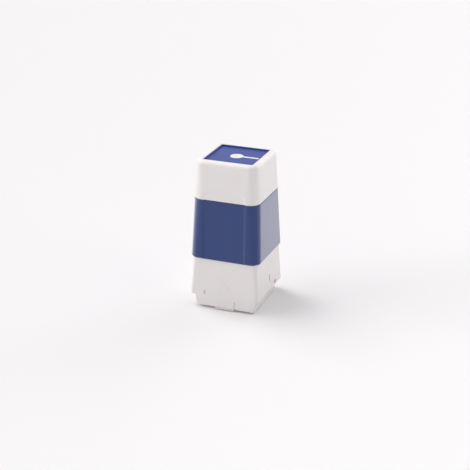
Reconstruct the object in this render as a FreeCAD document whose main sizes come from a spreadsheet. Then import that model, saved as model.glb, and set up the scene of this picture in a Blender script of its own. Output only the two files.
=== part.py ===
import FreeCAD, Part
import math
import os
import Sketcher

# Pre-inked stamp: a capped, spring-returned hand stamp with a square face.
# The frame stands on the table: +Z up, the origin in the middle of the cap's underside,
# -Y towards the front. The pieces ride in three groups. The cap stands on the table, the
# skirt stands on the cap, and the grip with the die unit slides down inside the skirt.

Vector = FreeCAD.Vector
document = FreeCAD.newDocument("stamp")

# Driving dimensions, in millimetres and degrees
DIMENSIONS = {
    # Heights that stack up from the table to the rim
    "foot_height": 0.95,
    "skirt_reveal": 20.52,
    "sleeve_height": 25.18,
    "handle_height": 15.85,
    # Press stroke and the play at its two ends
    "stroke": 4.0,
    "die_overtravel": 0.1,
    "cap_die_gap": 0.25,
    "stroke_end_gap": 0.4,
    # Grip sleeve
    "sleeve_low_width": 30.0,
    "sleeve_draw_in": 0.94,
    "sleeve_low_corner": 3.8,
    "sleeve_high_corner": 4.6,
    "sleeve_edge_bevel": 0.25,
    "sleeve_edge_rise": 0.5,
    "sleeve_wall": 1.36,
    "sleeve_bore_corner": 3.0,
    "joint_height": 0.25,
    "joint_depth": 0.6,
    "slide_gap": 0.18,
    # Finger panel on the front and the back
    "panel_side": 6.15,
    "panel_rise": 2.7,
    "panel_corner": 1.3,
    "panel_depth": 0.32,
    "panel_cove": 1.4,
    # Handle cover
    "handle_draw_in": 0.96,
    "handle_top_round": 1.8,
    "handle_wall": 1.5,
    "handle_deck": 1.6,
    "neck_length": 10.65,
    "neck_wall": 1.3,
    "neck_fit": 0.1,
    # Label recess, plate and index mark
    "label_side": 2.5,
    "label_end": 2.65,
    "label_corner": 0.8,
    "label_depth": 1.6,
    "plate_thickness": 0.9,
    "plate_fit": 0.1,
    "plate_wall": 0.45,
    "plate_wall_drop": 0.1,
    "index_diameter": 5.4,
    "index_bar": 1.3,
    "index_dish": 3.4,
    "index_dish_floor": 2.0,
    "index_dish_depth": 0.35,
    "index_fit": 0.08,
    # Grip core
    "core_flange": 1.6,
    "core_flange_gap": 0.3,
    "core_ring": 2.5,
    "core_ring_wall": 1.0,
    "core_ring_corner": 0.4,
    "turret_height": 7.5,
    "turret_wall": 1.5,
    "turret_web": 2.0,
    "hook_width": 6.0,
    "hook_height": 5.6,
    "hook_head": 1.4,
    "hook_reach": 0.9,
    "hook_play": 0.3,
    # Stem, its screw and its stop clip
    "stem_diameter": 6.0,
    "stem_chamfer": 0.4,
    "stem_groove_depth": 0.8,
    "stem_tip_groove": 0.5,
    "stem_tip_groove_width": 1.2,
    "stem_tip_groove_rise": 1.6,
    "screw_diameter": 2.6,
    "screw_length": 9.0,
    "screw_head": 4.6,
    "screw_head_height": 1.8,
    "screw_head_bevel": 0.6,
    "screw_drive": 2.6,
    "screw_drive_floor": 1.2,
    "screw_drive_depth": 0.9,
    "screw_point": 1.2,
    "screw_thread_fit": 0.05,
    "screw_play": 0.2,
    "washer_diameter": 6.0,
    "washer_thickness": 0.5,
    "clip_reach": 1.8,
    "clip_thickness": 0.8,
    "clip_mouth": 3.4,
    "clip_fit": 0.05,
    # Spring and its seats
    "spring_stem_gap": 1.4,
    "spring_wire": 0.8,
    "spring_turns": 6.0,
    "spring_end_gap": 0.05,
    "spring_room": 0.4,
    "seat_thickness": 0.5,
    # Skirt
    "skirt_set_in": 0.06,
    "skirt_draft": 2.735,
    "skirt_low_corner": 1.0,
    "skirt_high_corner": 2.2,
    "skirt_inner_corner": 0.9,
    "skirt_wall": 1.3,
    "side_edge": 4.3,
    "apron_side": 2.64,
    "apron_taper": 0.6,
    "apron_corner": 1.0,
    "bridge_thickness": 2.0,
    "bridge_drop": 2.5,
    "slit_gap": 0.06,
    "slit_width": 0.2,
    "slit_height": 3.25,
    "port_side": 3.95,
    "port_width": 0.75,
    "port_height": 1.9,
    "port_corner": 0.35,
    "port_depth": 0.5,
    "port_rise": 4.8,
    "side_slit_side": 0.2,
    "side_slit_width": 0.7,
    "side_slit_rise": 3.95,
    "side_slit_height": 2.9,
    "window_side": 6.65,
    "window_width": 2.1,
    "window_height": 1.4,
    "window_rise": 0.6,
    "window_corner": 0.2,
    "mark_width": 4.8,
    "mark_height": 4.6,
    "mark_rib": 0.9,
    "mark_rise": 6.4,
    "mark_proud": 0.08,
    # Bush in the bridge
    "bush_wall": 1.4,
    "bush_fit": 0.05,
    "seat_margin": 1.0,
    "bush_flange_thickness": 0.7,
    "bush_tail": 0.3,
    "stem_running_fit": 0.06,
    # Die unit
    "die_flange": 0.5,
    "die_flange_gap": 0.1,
    "die_thickness": 3.0,
    "die_flange_thickness": 1.5,
    "die_proud": 0.6,
    "die_fit": 0.15,
    "die_corner": 0.3,
    "frame_gap": 0.55,
    "frame_wall": 0.7,
    "frame_corner": 1.4,
    "frame_wall_height": 5.15,
    "holder_wall": 0.7,
    "holder_fit": 0.05,
    "holder_shoulder": 1.0,
    "holder_top": 1.65,
    "pad_thickness": 3.5,
    "pad_fit": 0.1,
    "socket_wall": 2.0,
    "socket_height": 6.2,
    "socket_floor": 1.2,
    "rib_thickness": 1.2,
    "rib_height": 3.4,
    "ink_port_diameter": 3.0,
    "ink_port_inset": 3.2,
    "plug_head": 4.4,
    "plug_head_height": 0.8,
    "plug_fit": 0.05,
    # Protective cap
    "cap_set_in": 2.19,
    "cap_rim_gap": 0.25,
    "cap_height": 9.0,
    "cap_corner": 2.0,
    "cap_wall": 0.9,
    "lip_left": 3.45,
    "lip_right": 4.6,
    "lip_proud": 0.4,
    "lip_rise": 0.5,
    "lip_seam": 0.1,
    "lip_bevel": 0.1,
    "wing_draw_in": 2.09,
    "wing_rise": 0.12,
    "wing_seam": 0.06,
    "wing_low_reach": 8.6,
    "wing_high_reach": 6.9,
    "wing_low_corner": 1.0,
    "bead_width": 4.0,
    "bead_height": 1.6,
    "bead_drop": 1.2,
    "bead_fit": 0.05,
}


def make_sheet():
    """Write the driving dimensions into the document's spreadsheet."""
    sheet = document.addObject("Spreadsheet::Sheet", "sizes")
    for row, (name, size) in enumerate(DIMENSIONS.items(), start=1):
        sheet.set(f"A{row}", name)
        sheet.set(f"B{row}", str(size))
        sheet.setAlias(f"B{row}", name)
    document.recompute()
    return sheet


sheet = make_sheet()

# Levels above the table, as expressions of the driving dimensions
FOOT = "sizes.foot_height"
SLEEVE_LOW = f"({FOOT} + sizes.skirt_reveal)"
SLEEVE_HIGH = f"({SLEEVE_LOW} + sizes.sleeve_height)"
RIM = f"({SLEEVE_HIGH} + sizes.handle_height)"
LIP_HIGH = f"({FOOT} - sizes.lip_seam)"
LABEL_FLOOR = f"({RIM} - sizes.label_depth)"
DECK_LOW = f"({LABEL_FLOOR} - sizes.handle_deck)"
NECK_LOW = f"({SLEEVE_HIGH} - sizes.neck_length)"
CORE_LOW = f"({NECK_LOW} - sizes.core_flange)"
TURRET_HIGH = f"({NECK_LOW} + sizes.turret_height)"
SPRING_ROOF = f"({TURRET_HIGH} - sizes.turret_web)"
SKIRT_TOP = f"({CORE_LOW} - sizes.stroke - sizes.stroke_end_gap)"
BRIDGE_HIGH = f"({SKIRT_TOP} - sizes.bridge_drop)"
BRIDGE_LOW = f"({BRIDGE_HIGH} - sizes.bridge_thickness)"
BUSH_LOW = f"({BRIDGE_LOW} - sizes.bush_tail)"
BUSH_HIGH = f"({BRIDGE_HIGH} + sizes.bush_flange_thickness)"
SEAT_HIGH = f"({BUSH_HIGH} + sizes.seat_thickness)"
CLIP_LOW = f"({BUSH_LOW} - sizes.clip_thickness)"
SIDE_EDGE = f"({FOOT} + sizes.side_edge)"
DIE_FACE = f"({FOOT} + sizes.stroke - sizes.die_overtravel)"
DIE_STEP = f"({DIE_FACE} + sizes.die_thickness - sizes.die_flange_thickness)"
DIE_BACK = f"({DIE_FACE} + sizes.die_thickness)"
FRAME_LOW = f"({DIE_FACE} + sizes.die_proud)"
FRAME_HIGH = f"({FRAME_LOW} + sizes.frame_wall_height)"
PAD_HIGH = f"({DIE_BACK} + sizes.pad_thickness)"
HOLDER_HIGH = f"({PAD_HIGH} + sizes.holder_top)"
SOCKET_HIGH = f"({HOLDER_HIGH} + sizes.socket_height)"
STEM_LOW = f"({HOLDER_HIGH} + sizes.socket_floor)"
CAP_FLOOR = f"({FOOT} - sizes.die_overtravel - sizes.cap_die_gap)"
WING_HIGH = f"({SIDE_EDGE} - sizes.wing_seam)"

STEM_RADIUS = "sizes.stem_diameter / 2"
GROOVE_RADIUS = f"({STEM_RADIUS} - sizes.stem_groove_depth)"
TIP_RADIUS = f"({STEM_RADIUS} - sizes.stem_tip_groove)"
BORE_RADIUS = f"({STEM_RADIUS} + sizes.stem_running_fit)"
BUSH_RADIUS = f"({BORE_RADIUS} + sizes.bush_wall)"
SPRING_MEAN = "(sizes.stem_diameter + 2 * sizes.spring_stem_gap + sizes.spring_wire)"
TURRET_BORE = f"({SPRING_MEAN} / 2 + sizes.spring_wire / 2 + sizes.spring_room)"
BUSH_FLANGE = f"({SPRING_MEAN} + sizes.spring_wire + 2 * sizes.seat_margin)"
CLIP_DIAMETER = "(sizes.stem_diameter + 2 * sizes.clip_reach)"

# Widths, each from the one that it lies in or against
SLEEVE_HIGH_WIDTH = "(sizes.sleeve_low_width - 2 * sizes.sleeve_draw_in)"
SLEEVE_BORE_WIDTH = f"({SLEEVE_HIGH_WIDTH} - 2 * sizes.sleeve_wall)"
PANEL_WIDTH = f"({SLEEVE_HIGH_WIDTH} - 2 * sizes.panel_side)"
HANDLE_TOP_WIDTH = f"({SLEEVE_HIGH_WIDTH} - 2 * sizes.handle_draw_in)"
LABEL_WIDTH = f"({HANDLE_TOP_WIDTH} - 2 * sizes.label_side)"
LABEL_LENGTH = f"({HANDLE_TOP_WIDTH} - 2 * sizes.label_end)"
SKIRT_FOOT_WIDTH = "(sizes.sleeve_low_width - 2 * sizes.skirt_set_in)"
APRON_HALF = f"({SKIRT_FOOT_WIDTH} / 2 - sizes.apron_side)"
PORT_OFFSET = f"({APRON_HALF} - sizes.port_side)"
APRON_LOW_HALF = f"({APRON_HALF} - sizes.apron_taper)"
LIP_REACH = f"({SKIRT_FOOT_WIDTH} / 2 + sizes.lip_proud)"
CAP_FOOT_WIDTH = f"({SKIRT_FOOT_WIDTH} - 2 * sizes.cap_set_in)"
FRAME_WIDTH = f"({CAP_FOOT_WIDTH} - 2 * sizes.cap_wall - 2 * sizes.frame_gap)"
HOLDER_WIDTH = f"({FRAME_WIDTH} - 2 * sizes.frame_wall)"
DIE_FLANGE_WIDTH = f"({HOLDER_WIDTH} - 2 * sizes.die_flange_gap)"
DIE_WIDTH = f"({DIE_FLANGE_WIDTH} - 2 * sizes.die_flange)"
INK_PORT_OFFSET = f"({HOLDER_WIDTH} / 2 - sizes.ink_port_inset)"

SLEEVE_DRAFT = "atan(sizes.sleeve_draw_in / sizes.sleeve_height)"
HANDLE_DRAFT = "atan(sizes.handle_draw_in / sizes.handle_height)"

# How far a cut runs past the surface that it opens
OVERSHOOT = "1"


def value(expression):
    """Return the number that an expression of the driving dimensions has."""
    result = sheet.evalExpression(expression)
    return float(getattr(result, "Value", result))


def skirt_width_at(level):
    """Return the expression of the skirt's outer width at a level above the table."""
    return f"({SKIRT_FOOT_WIDTH} - 2 * ({level} - {FOOT}) * tan(sizes.skirt_draft))"


def skirt_corner_at(level):
    """Return the expression of the skirt's corner radius at a level above the table."""
    return (
        "(sizes.skirt_low_corner + (sizes.skirt_high_corner - sizes.skirt_low_corner)"
        f" * ({level} - {FOOT}) / ({SKIRT_TOP} - {FOOT}))"
    )


def apron_edge_at(level):
    """Return the expression of the apron's half width at a level above the table."""
    return f"({APRON_LOW_HALF} + ({level} - {FOOT}) * sizes.apron_taper / sizes.side_edge)"


def bind(owner, prop, expression):
    """Tie one property to an expression of the driving dimensions."""
    owner.setExpression(prop, expression)


# Sketches


def new_body(name):
    """Start one sub-part; its label names its file."""
    body = document.addObject("PartDesign::Body", name)
    body.Label = name
    body.Placement = FreeCAD.Placement()
    return body


def new_sketch(body, name, role="XY_Plane", level="0", rise="0", tilt=None):
    """Attach a sketch to one of the body's planes.

    level lifts it along the plane's normal, rise along its vertical, and tilt turns it about
    its horizontal. The XZ plane's normal points to the front, the YZ plane's to +X.
    """
    sketch = body.newObject("Sketcher::SketchObject", f"{body.Name}_{name}")
    support = next(f for f in body.Origin.OriginFeatures if f.Role == role)
    sketch.AttachmentSupport = [(support, "")]
    sketch.MapMode = "FlatFace"
    if tilt is not None:
        sketch.AttachmentOffset = FreeCAD.Placement(Vector(), FreeCAD.Rotation(Vector(1, 0, 0), 1))
        bind(sketch, "AttachmentOffset.Rotation.Angle", tilt)
    bind(sketch, "AttachmentOffset.Base.y", rise)
    bind(sketch, "AttachmentOffset.Base.z", level)
    return sketch


def dimension(sketch, name, constraint, expression):
    """Add a named dimension whose size is an expression."""
    index = sketch.addConstraint(constraint)
    sketch.renameConstraint(index, name)
    bind(sketch, f"Constraints.{name}", expression)


def add_outline(sketch, corners):
    """Draw a closed outline of straight lines through corners given as expressions."""
    first = sketch.GeometryCount
    count = len(corners)
    spots = [Vector(value(x), value(y), 0) for x, y in corners]
    for i in range(count):
        sketch.addGeometry(Part.LineSegment(spots[i], spots[(i + 1) % count]), False)
    for i, (x, y) in enumerate(corners):
        following = first + (i + 1) % count
        sketch.addConstraint(Sketcher.Constraint("Coincident", first + i, 2, following, 1))
        across = Sketcher.Constraint("DistanceX", first + i, 1, spots[i].x)
        upward = Sketcher.Constraint("DistanceY", first + i, 1, spots[i].y)
        dimension(sketch, f"across_{first + i}", across, x)
        dimension(sketch, f"upward_{first + i}", upward, y)


def add_circle(sketch, diameter, x="0", y="0"):
    """Draw a circle, its diameter and centre given as expressions."""
    index = sketch.GeometryCount
    centre = Vector(value(x), value(y), 0)
    radius = value(diameter) / 2
    sketch.addGeometry(Part.Circle(centre, Vector(0, 0, 1), radius), False)
    size = Sketcher.Constraint("Diameter", index, 2 * radius)
    across = Sketcher.Constraint("DistanceX", index, 3, centre.x)
    upward = Sketcher.Constraint("DistanceY", index, 3, centre.y)
    dimension(sketch, f"diameter_{index}", size, diameter)
    dimension(sketch, f"across_{index}", across, x)
    dimension(sketch, f"upward_{index}", upward, y)


def add_rounded(sketch, left, right, low, high, corner):
    """Draw a rectangle with round corners between four sides given as expressions."""
    first = sketch.GeometryCount
    x0, x1, y0, y1, r = (value(e) for e in (left, right, low, high, corner))
    sides = [
        (x0 + r, y0, x1 - r, y0),
        (x1, y0 + r, x1, y1 - r),
        (x1 - r, y1, x0 + r, y1),
        (x0, y1 - r, x0, y0 + r),
    ]
    centres = [(x1 - r, y0 + r), (x1 - r, y1 - r), (x0 + r, y1 - r), (x0 + r, y0 + r)]
    for ax, ay, bx, by in sides:
        sketch.addGeometry(Part.LineSegment(Vector(ax, ay, 0), Vector(bx, by, 0)), False)
    for k, (cx, cy) in enumerate(centres):
        circle = Part.Circle(Vector(cx, cy, 0), Vector(0, 0, 1), r)
        start = (k - 1) * math.pi / 2
        sketch.addGeometry(Part.ArcOfCircle(circle, start, start + math.pi / 2), False)
    for k in range(4):
        arc = first + 4 + k
        sketch.addConstraint(Sketcher.Constraint("Tangent", first + k, 2, arc, 1))
        sketch.addConstraint(Sketcher.Constraint("Tangent", arc, 2, first + (k + 1) % 4, 1))
    for k, kind in enumerate(("Horizontal", "Vertical", "Horizontal", "Vertical")):
        sketch.addConstraint(Sketcher.Constraint(kind, first + k))
    for k in range(1, 4):
        sketch.addConstraint(Sketcher.Constraint("Equal", first + 4, first + 4 + k))
    dimension(sketch, f"corner_{first}", Sketcher.Constraint("Radius", first + 4, r), corner)
    dimension(sketch, f"left_{first}", Sketcher.Constraint("DistanceX", first + 3, 1, x0), left)
    dimension(sketch, f"right_{first}", Sketcher.Constraint("DistanceX", first + 1, 1, x1), right)
    dimension(sketch, f"low_{first}", Sketcher.Constraint("DistanceY", first, 1, y0), low)
    dimension(sketch, f"high_{first}", Sketcher.Constraint("DistanceY", first + 2, 1, y1), high)


def add_side_strip(sketch, inner, outer, front, back, corner):
    """Draw a strip along the +X side, its front outer corner round."""
    x0, x1, y0, y1, r = (value(e) for e in (inner, outer, front, back, corner))
    sketch.addGeometry(Part.LineSegment(Vector(x0, y0, 0), Vector(x1 - r, y0, 0)), False)
    circle = Part.Circle(Vector(x1 - r, y0 + r, 0), Vector(0, 0, 1), r)
    sketch.addGeometry(Part.ArcOfCircle(circle, -math.pi / 2, 0), False)
    corners = [Vector(x1, y0 + r, 0), Vector(x1, y1, 0), Vector(x0, y1, 0), Vector(x0, y0, 0)]
    for a, b in zip(corners, corners[1:]):
        sketch.addGeometry(Part.LineSegment(a, b), False)
    sketch.addConstraint(Sketcher.Constraint("Tangent", 0, 2, 1, 1))
    sketch.addConstraint(Sketcher.Constraint("Tangent", 1, 2, 2, 1))
    for first, second in ((2, 3), (3, 4), (4, 0)):
        sketch.addConstraint(Sketcher.Constraint("Coincident", first, 2, second, 1))
    for kind, index in (("Horizontal", 0), ("Vertical", 2), ("Horizontal", 3), ("Vertical", 4)):
        sketch.addConstraint(Sketcher.Constraint(kind, index))
    dimension(sketch, "corner", Sketcher.Constraint("Radius", 1, r), corner)
    dimension(sketch, "outer", Sketcher.Constraint("DistanceX", 3, 1, x1), outer)
    dimension(sketch, "inner", Sketcher.Constraint("DistanceX", 4, 1, x0), inner)
    dimension(sketch, "front", Sketcher.Constraint("DistanceY", 0, 1, y0), front)
    dimension(sketch, "back", Sketcher.Constraint("DistanceY", 3, 1, y1), back)


def rounded_square(body, name, level, width, corner):
    """Sketch a centred square with round corners at a level above the table."""
    return rounded_plate(body, name, level, width, width, corner)


def rounded_plate(body, name, level, width, length, corner):
    """Sketch a centred rectangle with round corners at a level above the table."""
    sketch = new_sketch(body, name, level=level)
    half_x = f"({width}) / 2"
    half_y = f"({length}) / 2"
    add_rounded(sketch, f"-{half_x}", half_x, f"-{half_y}", half_y, corner)
    return sketch


def box_outline(left, right, low, high):
    """Return the four corners of a plain rectangle."""
    return [(left, low), (right, low), (right, high), (left, high)]


# Features


def add_feature(body, kind, name):
    """Add a feature as the body's new tip."""
    feature = body.newObject(f"PartDesign::{kind}", f"{body.Name}_{name}")
    body.Tip = feature
    return feature


def pad(body, name, sketch, length, draft=None):
    """Raise a sketch by a length along its normal, drawn in by a draft angle if one is given."""
    feature = add_feature(body, "Pad", name)
    feature.Profile = sketch
    bind(feature, "Length", length)
    if draft is not None:
        bind(feature, "TaperAngle", f"-{draft}")
    return feature


def pocket(body, name, sketch, length, along=False):
    """Cut a sketch by a length against its normal, or along it."""
    feature = add_feature(body, "Pocket", name)
    feature.Profile = sketch
    bind(feature, "Length", length)
    feature.Reversed = along
    return feature


def slot_through(body, name, sketch, length):
    """Cut a sketch to both sides of its plane."""
    feature = pocket(body, name, sketch, length)
    feature.Midplane = True
    return feature


def loft(body, name, low, *sections, cut=False):
    """Join sketches by a straight-sided loft, as material or as a cut."""
    feature = add_feature(body, "SubtractiveLoft" if cut else "AdditiveLoft", name)
    feature.Profile = low
    feature.Sections = list(sections)
    feature.Ruled = True
    return feature


def turn(body, name, sketch, cut=False):
    """Turn a sketch once round the vertical axis."""
    feature = add_feature(body, "Groove" if cut else "Revolution", name)
    feature.Profile = sketch
    feature.ReferenceAxis = (sketch, ["V_Axis"])
    feature.Angle = 360.0
    return feature


def half_turn_copy(body, name, features):
    """Repeat features on the opposite side, half a turn round the vertical axis."""
    axis = next(f for f in body.Origin.OriginFeatures if f.Role == "Z_Axis")
    pattern = add_feature(body, "PolarPattern", name)
    pattern.Originals = features
    pattern.Axis = (axis, [""])
    pattern.Angle = 360.0
    pattern.Occurrences = 2
    body.Tip = pattern
    return pattern


def quarter_turn_copies(body, name, features):
    """Repeat features on all four sides."""
    pattern = half_turn_copy(body, name, features)
    pattern.Occurrences = 4
    return pattern


def dress(body, kind, name, size_property, size, wanted):
    """Fillet or chamfer the edges of the body's tip that wanted picks."""
    document.recompute()
    base = body.Tip
    edges = [f"Edge{i}" for i, edge in enumerate(base.Shape.Edges, start=1) if wanted(edge)]
    assert edges, f"{body.Name}: no edge for {name}"
    feature = add_feature(body, kind, name)
    feature.Base = (base, edges)
    bind(feature, size_property, size)
    return feature


def at_level(edge, level):
    """Say whether a whole edge lies at a height."""
    box = edge.BoundBox
    return abs(box.ZMin - level) < 1e-4 and abs(box.ZMax - level) < 1e-4


# Grip: handle cover, label plate, sleeve and core


def panel_cut(body, name, low_level, low_width, draft, bottom, top):
    """Sink the finger panel into the front and the back, parallel to the drafted face.

    bottom and top are measured up the face from low_level, where the part is low_width wide.
    The floor is panel_depth inside the face, and a cove as wide as panel_cove leads up to it.
    """
    half = f"{PANEL_WIDTH} / 2"
    sections = []
    for step, sunk, spread in (("floor", 1, 0), ("cove", 0.8, 0.45), ("edge", 0, 1), ("outside", -0.5, 1.3)):
        grow = f"{spread} * sizes.panel_cove"
        level = f"{low_width} / 2 - {sunk} * sizes.panel_depth"
        sketch = new_sketch(body, f"{name}_{step}", "XZ_Plane", level, low_level, f"-{draft}")
        add_rounded(
            sketch,
            f"-({half} + {grow})",
            f"{half} + {grow}",
            f"{bottom} - {grow}",
            f"{top} + {grow}",
            f"sizes.panel_corner + {grow}",
        )
        sections.append(sketch)
    cut = loft(body, name, *sections, cut=True)
    return half_turn_copy(body, f"{name}_pair", [cut])


def index_outline(body, name, level, play, reach):
    """Sketch the index mark's ring and bar, widened all round by play."""
    ring = f"(sizes.index_diameter / 2 + {play})"
    bar = f"(sizes.index_bar / 2 + {play})"
    sketch = new_sketch(body, name, level=level)
    radius = value(ring)
    half = value(bar)
    start = math.asin(half / radius)
    meet = radius * math.cos(start)
    end = value(reach)
    circle = Part.Circle(Vector(), Vector(0, 0, 1), radius)
    sketch.addGeometry(Part.ArcOfCircle(circle, start, 2 * math.pi - start), False)
    corners = [Vector(meet, -half, 0), Vector(end, -half, 0), Vector(end, half, 0), Vector(meet, half, 0)]
    for a, b in zip(corners, corners[1:]):
        sketch.addGeometry(Part.LineSegment(a, b), False)
    for first, second in ((0, 1), (1, 2), (2, 3), (3, 0)):
        sketch.addConstraint(Sketcher.Constraint("Coincident", first, 2, second, 1))
    sketch.addConstraint(Sketcher.Constraint("Coincident", 0, 3, -1, 1))
    sketch.addConstraint(Sketcher.Constraint("Horizontal", 1))
    sketch.addConstraint(Sketcher.Constraint("Horizontal", 3))
    sketch.addConstraint(Sketcher.Constraint("Vertical", 2))
    dimension(sketch, "ring", Sketcher.Constraint("Radius", 0, radius), ring)
    dimension(sketch, "reach", Sketcher.Constraint("DistanceX", 1, 2, end), reach)
    dimension(sketch, "bar_low", Sketcher.Constraint("DistanceY", 1, 2, -half), f"-{bar}")
    dimension(sketch, "bar_high", Sketcher.Constraint("DistanceY", 2, 2, half), bar)
    return sketch


def make_handle_cover():
    """Make the upper shell: drafted cover, label recess, index mark and neck."""
    body = new_body("handle_cover")
    low = rounded_square(body, "low", SLEEVE_HIGH, SLEEVE_HIGH_WIDTH, "sizes.sleeve_high_corner")
    pad(body, "cover", low, "sizes.handle_height", HANDLE_DRAFT)
    rim = value(RIM)
    dress(body, "Fillet", "top_round", "Radius", "sizes.handle_top_round", lambda e: at_level(e, rim))
    inner_corner = "sizes.sleeve_high_corner - sizes.handle_wall"
    inner_low = rounded_square(
        body, "inner_low", SLEEVE_HIGH, f"{SLEEVE_HIGH_WIDTH} - 2 * sizes.handle_wall", inner_corner
    )
    inner_high = rounded_square(
        body, "inner_high", DECK_LOW, f"{HANDLE_TOP_WIDTH} - 2 * sizes.handle_wall", inner_corner
    )
    loft(body, "hollow", inner_low, inner_high, cut=True)
    recess = rounded_plate(body, "recess", RIM, LABEL_WIDTH, LABEL_LENGTH, "sizes.label_corner")
    pocket(body, "label_recess", recess, "sizes.label_depth")
    neck_width = f"({SLEEVE_BORE_WIDTH} - 2 * sizes.neck_fit)"
    neck_corner = "(sizes.sleeve_bore_corner - sizes.neck_fit)"
    bore_width = f"({neck_width} - 2 * sizes.neck_wall)"
    bore_corner = f"({neck_corner} - sizes.neck_wall)"
    collar = new_sketch(body, "collar", level=SLEEVE_HIGH)
    half_out = f"({SLEEVE_HIGH_WIDTH} - sizes.handle_wall) / 2"
    half_in = f"{bore_width} / 2"
    add_rounded(collar, f"-{half_out}", half_out, f"-{half_out}", half_out, inner_corner)
    add_rounded(collar, f"-{half_in}", half_in, f"-{half_in}", half_in, bore_corner)
    pad(body, "shoulder", collar, "sizes.handle_wall")
    neck = new_sketch(body, "neck", level=NECK_LOW)
    half_neck = f"{neck_width} / 2"
    add_rounded(neck, f"-{half_neck}", half_neck, f"-{half_neck}", half_neck, neck_corner)
    add_rounded(neck, f"-{half_in}", half_in, f"-{half_in}", half_in, bore_corner)
    pad(body, "neck_wall", neck, "sizes.neck_length")
    window = new_sketch(body, "window", "YZ_Plane")
    half_window = "(sizes.hook_width / 2 + sizes.hook_play)"
    window_low = f"({NECK_LOW} + sizes.hook_height - sizes.hook_head - sizes.hook_play)"
    window_high = f"({NECK_LOW} + sizes.hook_height + sizes.hook_play)"
    add_outline(window, box_outline(f"-{half_window}", half_window, window_low, window_high))
    slot_through(body, "windows", window, f"{neck_width} + {OVERSHOOT}")
    mark = index_outline(body, "mark", LABEL_FLOOR, "0", f"{LABEL_WIDTH} / 2")
    pad(body, "index_mark", mark, "sizes.plate_thickness")
    dish = new_sketch(body, "dish", "XZ_Plane")
    plate_high = f"({LABEL_FLOOR} + sizes.plate_thickness)"
    dish_low = f"({plate_high} - sizes.index_dish_depth)"
    dish_half = "sizes.index_dish / 2"
    over = f"({plate_high} + sizes.index_dish_depth)"
    add_outline(dish, [
        ("0", dish_low),
        ("sizes.index_dish_floor / 2", dish_low),
        (dish_half, plate_high),
        (dish_half, over),
        ("0", over),
    ])
    turn(body, "index_dish", dish, cut=True)
    panel_cut(
        body, "panel", SLEEVE_HIGH, SLEEVE_HIGH_WIDTH, HANDLE_DRAFT,
        "-2 * sizes.panel_corner - 2 * sizes.panel_cove", "sizes.panel_rise",
    )
    return body


def make_label_plate():
    """Make the coloured tray that lines the handle's recess round the index mark."""
    body = new_body("label_plate")
    width = f"({LABEL_WIDTH} - 2 * sizes.plate_fit)"
    length = f"({LABEL_LENGTH} - 2 * sizes.plate_fit)"
    corner = "(sizes.label_corner - sizes.plate_fit)"
    plate = rounded_plate(body, "plate", LABEL_FLOOR, width, length, corner)
    wall_top = f"({RIM} - sizes.plate_wall_drop)"
    pad(body, "block", plate, f"{wall_top} - {LABEL_FLOOR}")
    walls = "2 * sizes.plate_wall"
    inside = rounded_plate(
        body, "inside", wall_top, f"{width} - {walls}", f"{length} - {walls}", f"{corner} - sizes.plate_wall"
    )
    pocket(body, "tray", inside, f"{wall_top} - {LABEL_FLOOR} - sizes.plate_thickness")
    keyhole = index_outline(
        body, "keyhole", wall_top, "sizes.index_fit", f"{LABEL_WIDTH} / 2 + sizes.plate_fit",
    )
    pocket(body, "keyhole_cut", keyhole, f"{wall_top} - {LABEL_FLOOR}")
    return body


def make_grip_sleeve():
    """Make the coloured sleeve: a drafted tube with a step that the core holds up."""
    body = new_body("grip_sleeve")
    bevel = "sizes.sleeve_edge_bevel"
    low_corner = "sizes.sleeve_low_corner"
    edge = rounded_square(
        body, "edge", SLEEVE_LOW, f"sizes.sleeve_low_width - 2 * {bevel}", f"{low_corner} - {bevel}"
    )
    low = rounded_square(
        body, "low", f"{SLEEVE_LOW} + sizes.sleeve_edge_rise", "sizes.sleeve_low_width", low_corner
    )
    high = rounded_square(body, "high", SLEEVE_HIGH, SLEEVE_HIGH_WIDTH, "sizes.sleeve_high_corner")
    loft(body, "outside", edge, low, high)
    cavity = []
    for name, level in (("cavity_low", SLEEVE_LOW), ("cavity_high", NECK_LOW)):
        pressed = f"({level} - sizes.stroke)"
        cavity.append(rounded_square(
            body, name, level, f"{skirt_width_at(pressed)} + 2 * sizes.slide_gap",
            f"{skirt_corner_at(pressed)} + sizes.slide_gap",
        ))
    loft(body, "cavity", *cavity, cut=True)
    bore = rounded_square(body, "bore", SLEEVE_HIGH, SLEEVE_BORE_WIDTH, "sizes.sleeve_bore_corner")
    pocket(body, "neck_bore", bore, "sizes.neck_length")
    joint = new_sketch(body, "joint", level=SLEEVE_HIGH)
    for half, joint_corner in (
        (f"({SLEEVE_HIGH_WIDTH} / 2 + {OVERSHOOT})", f"sizes.sleeve_high_corner + {OVERSHOOT}"),
        (f"({SLEEVE_HIGH_WIDTH} / 2 - sizes.joint_depth)", "sizes.sleeve_high_corner - sizes.joint_depth"),
    ):
        add_rounded(joint, f"-{half}", half, f"-{half}", half, joint_corner)
    pocket(body, "joint_groove", joint, "sizes.joint_height")
    panel_cut(
        body, "panel", SLEEVE_LOW, "sizes.sleeve_low_width", SLEEVE_DRAFT,
        "-2 * sizes.panel_corner - 2 * sizes.panel_cove",
        "sizes.sleeve_height + 2 * sizes.panel_corner + 2 * sizes.panel_cove",
    )
    return body


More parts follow.
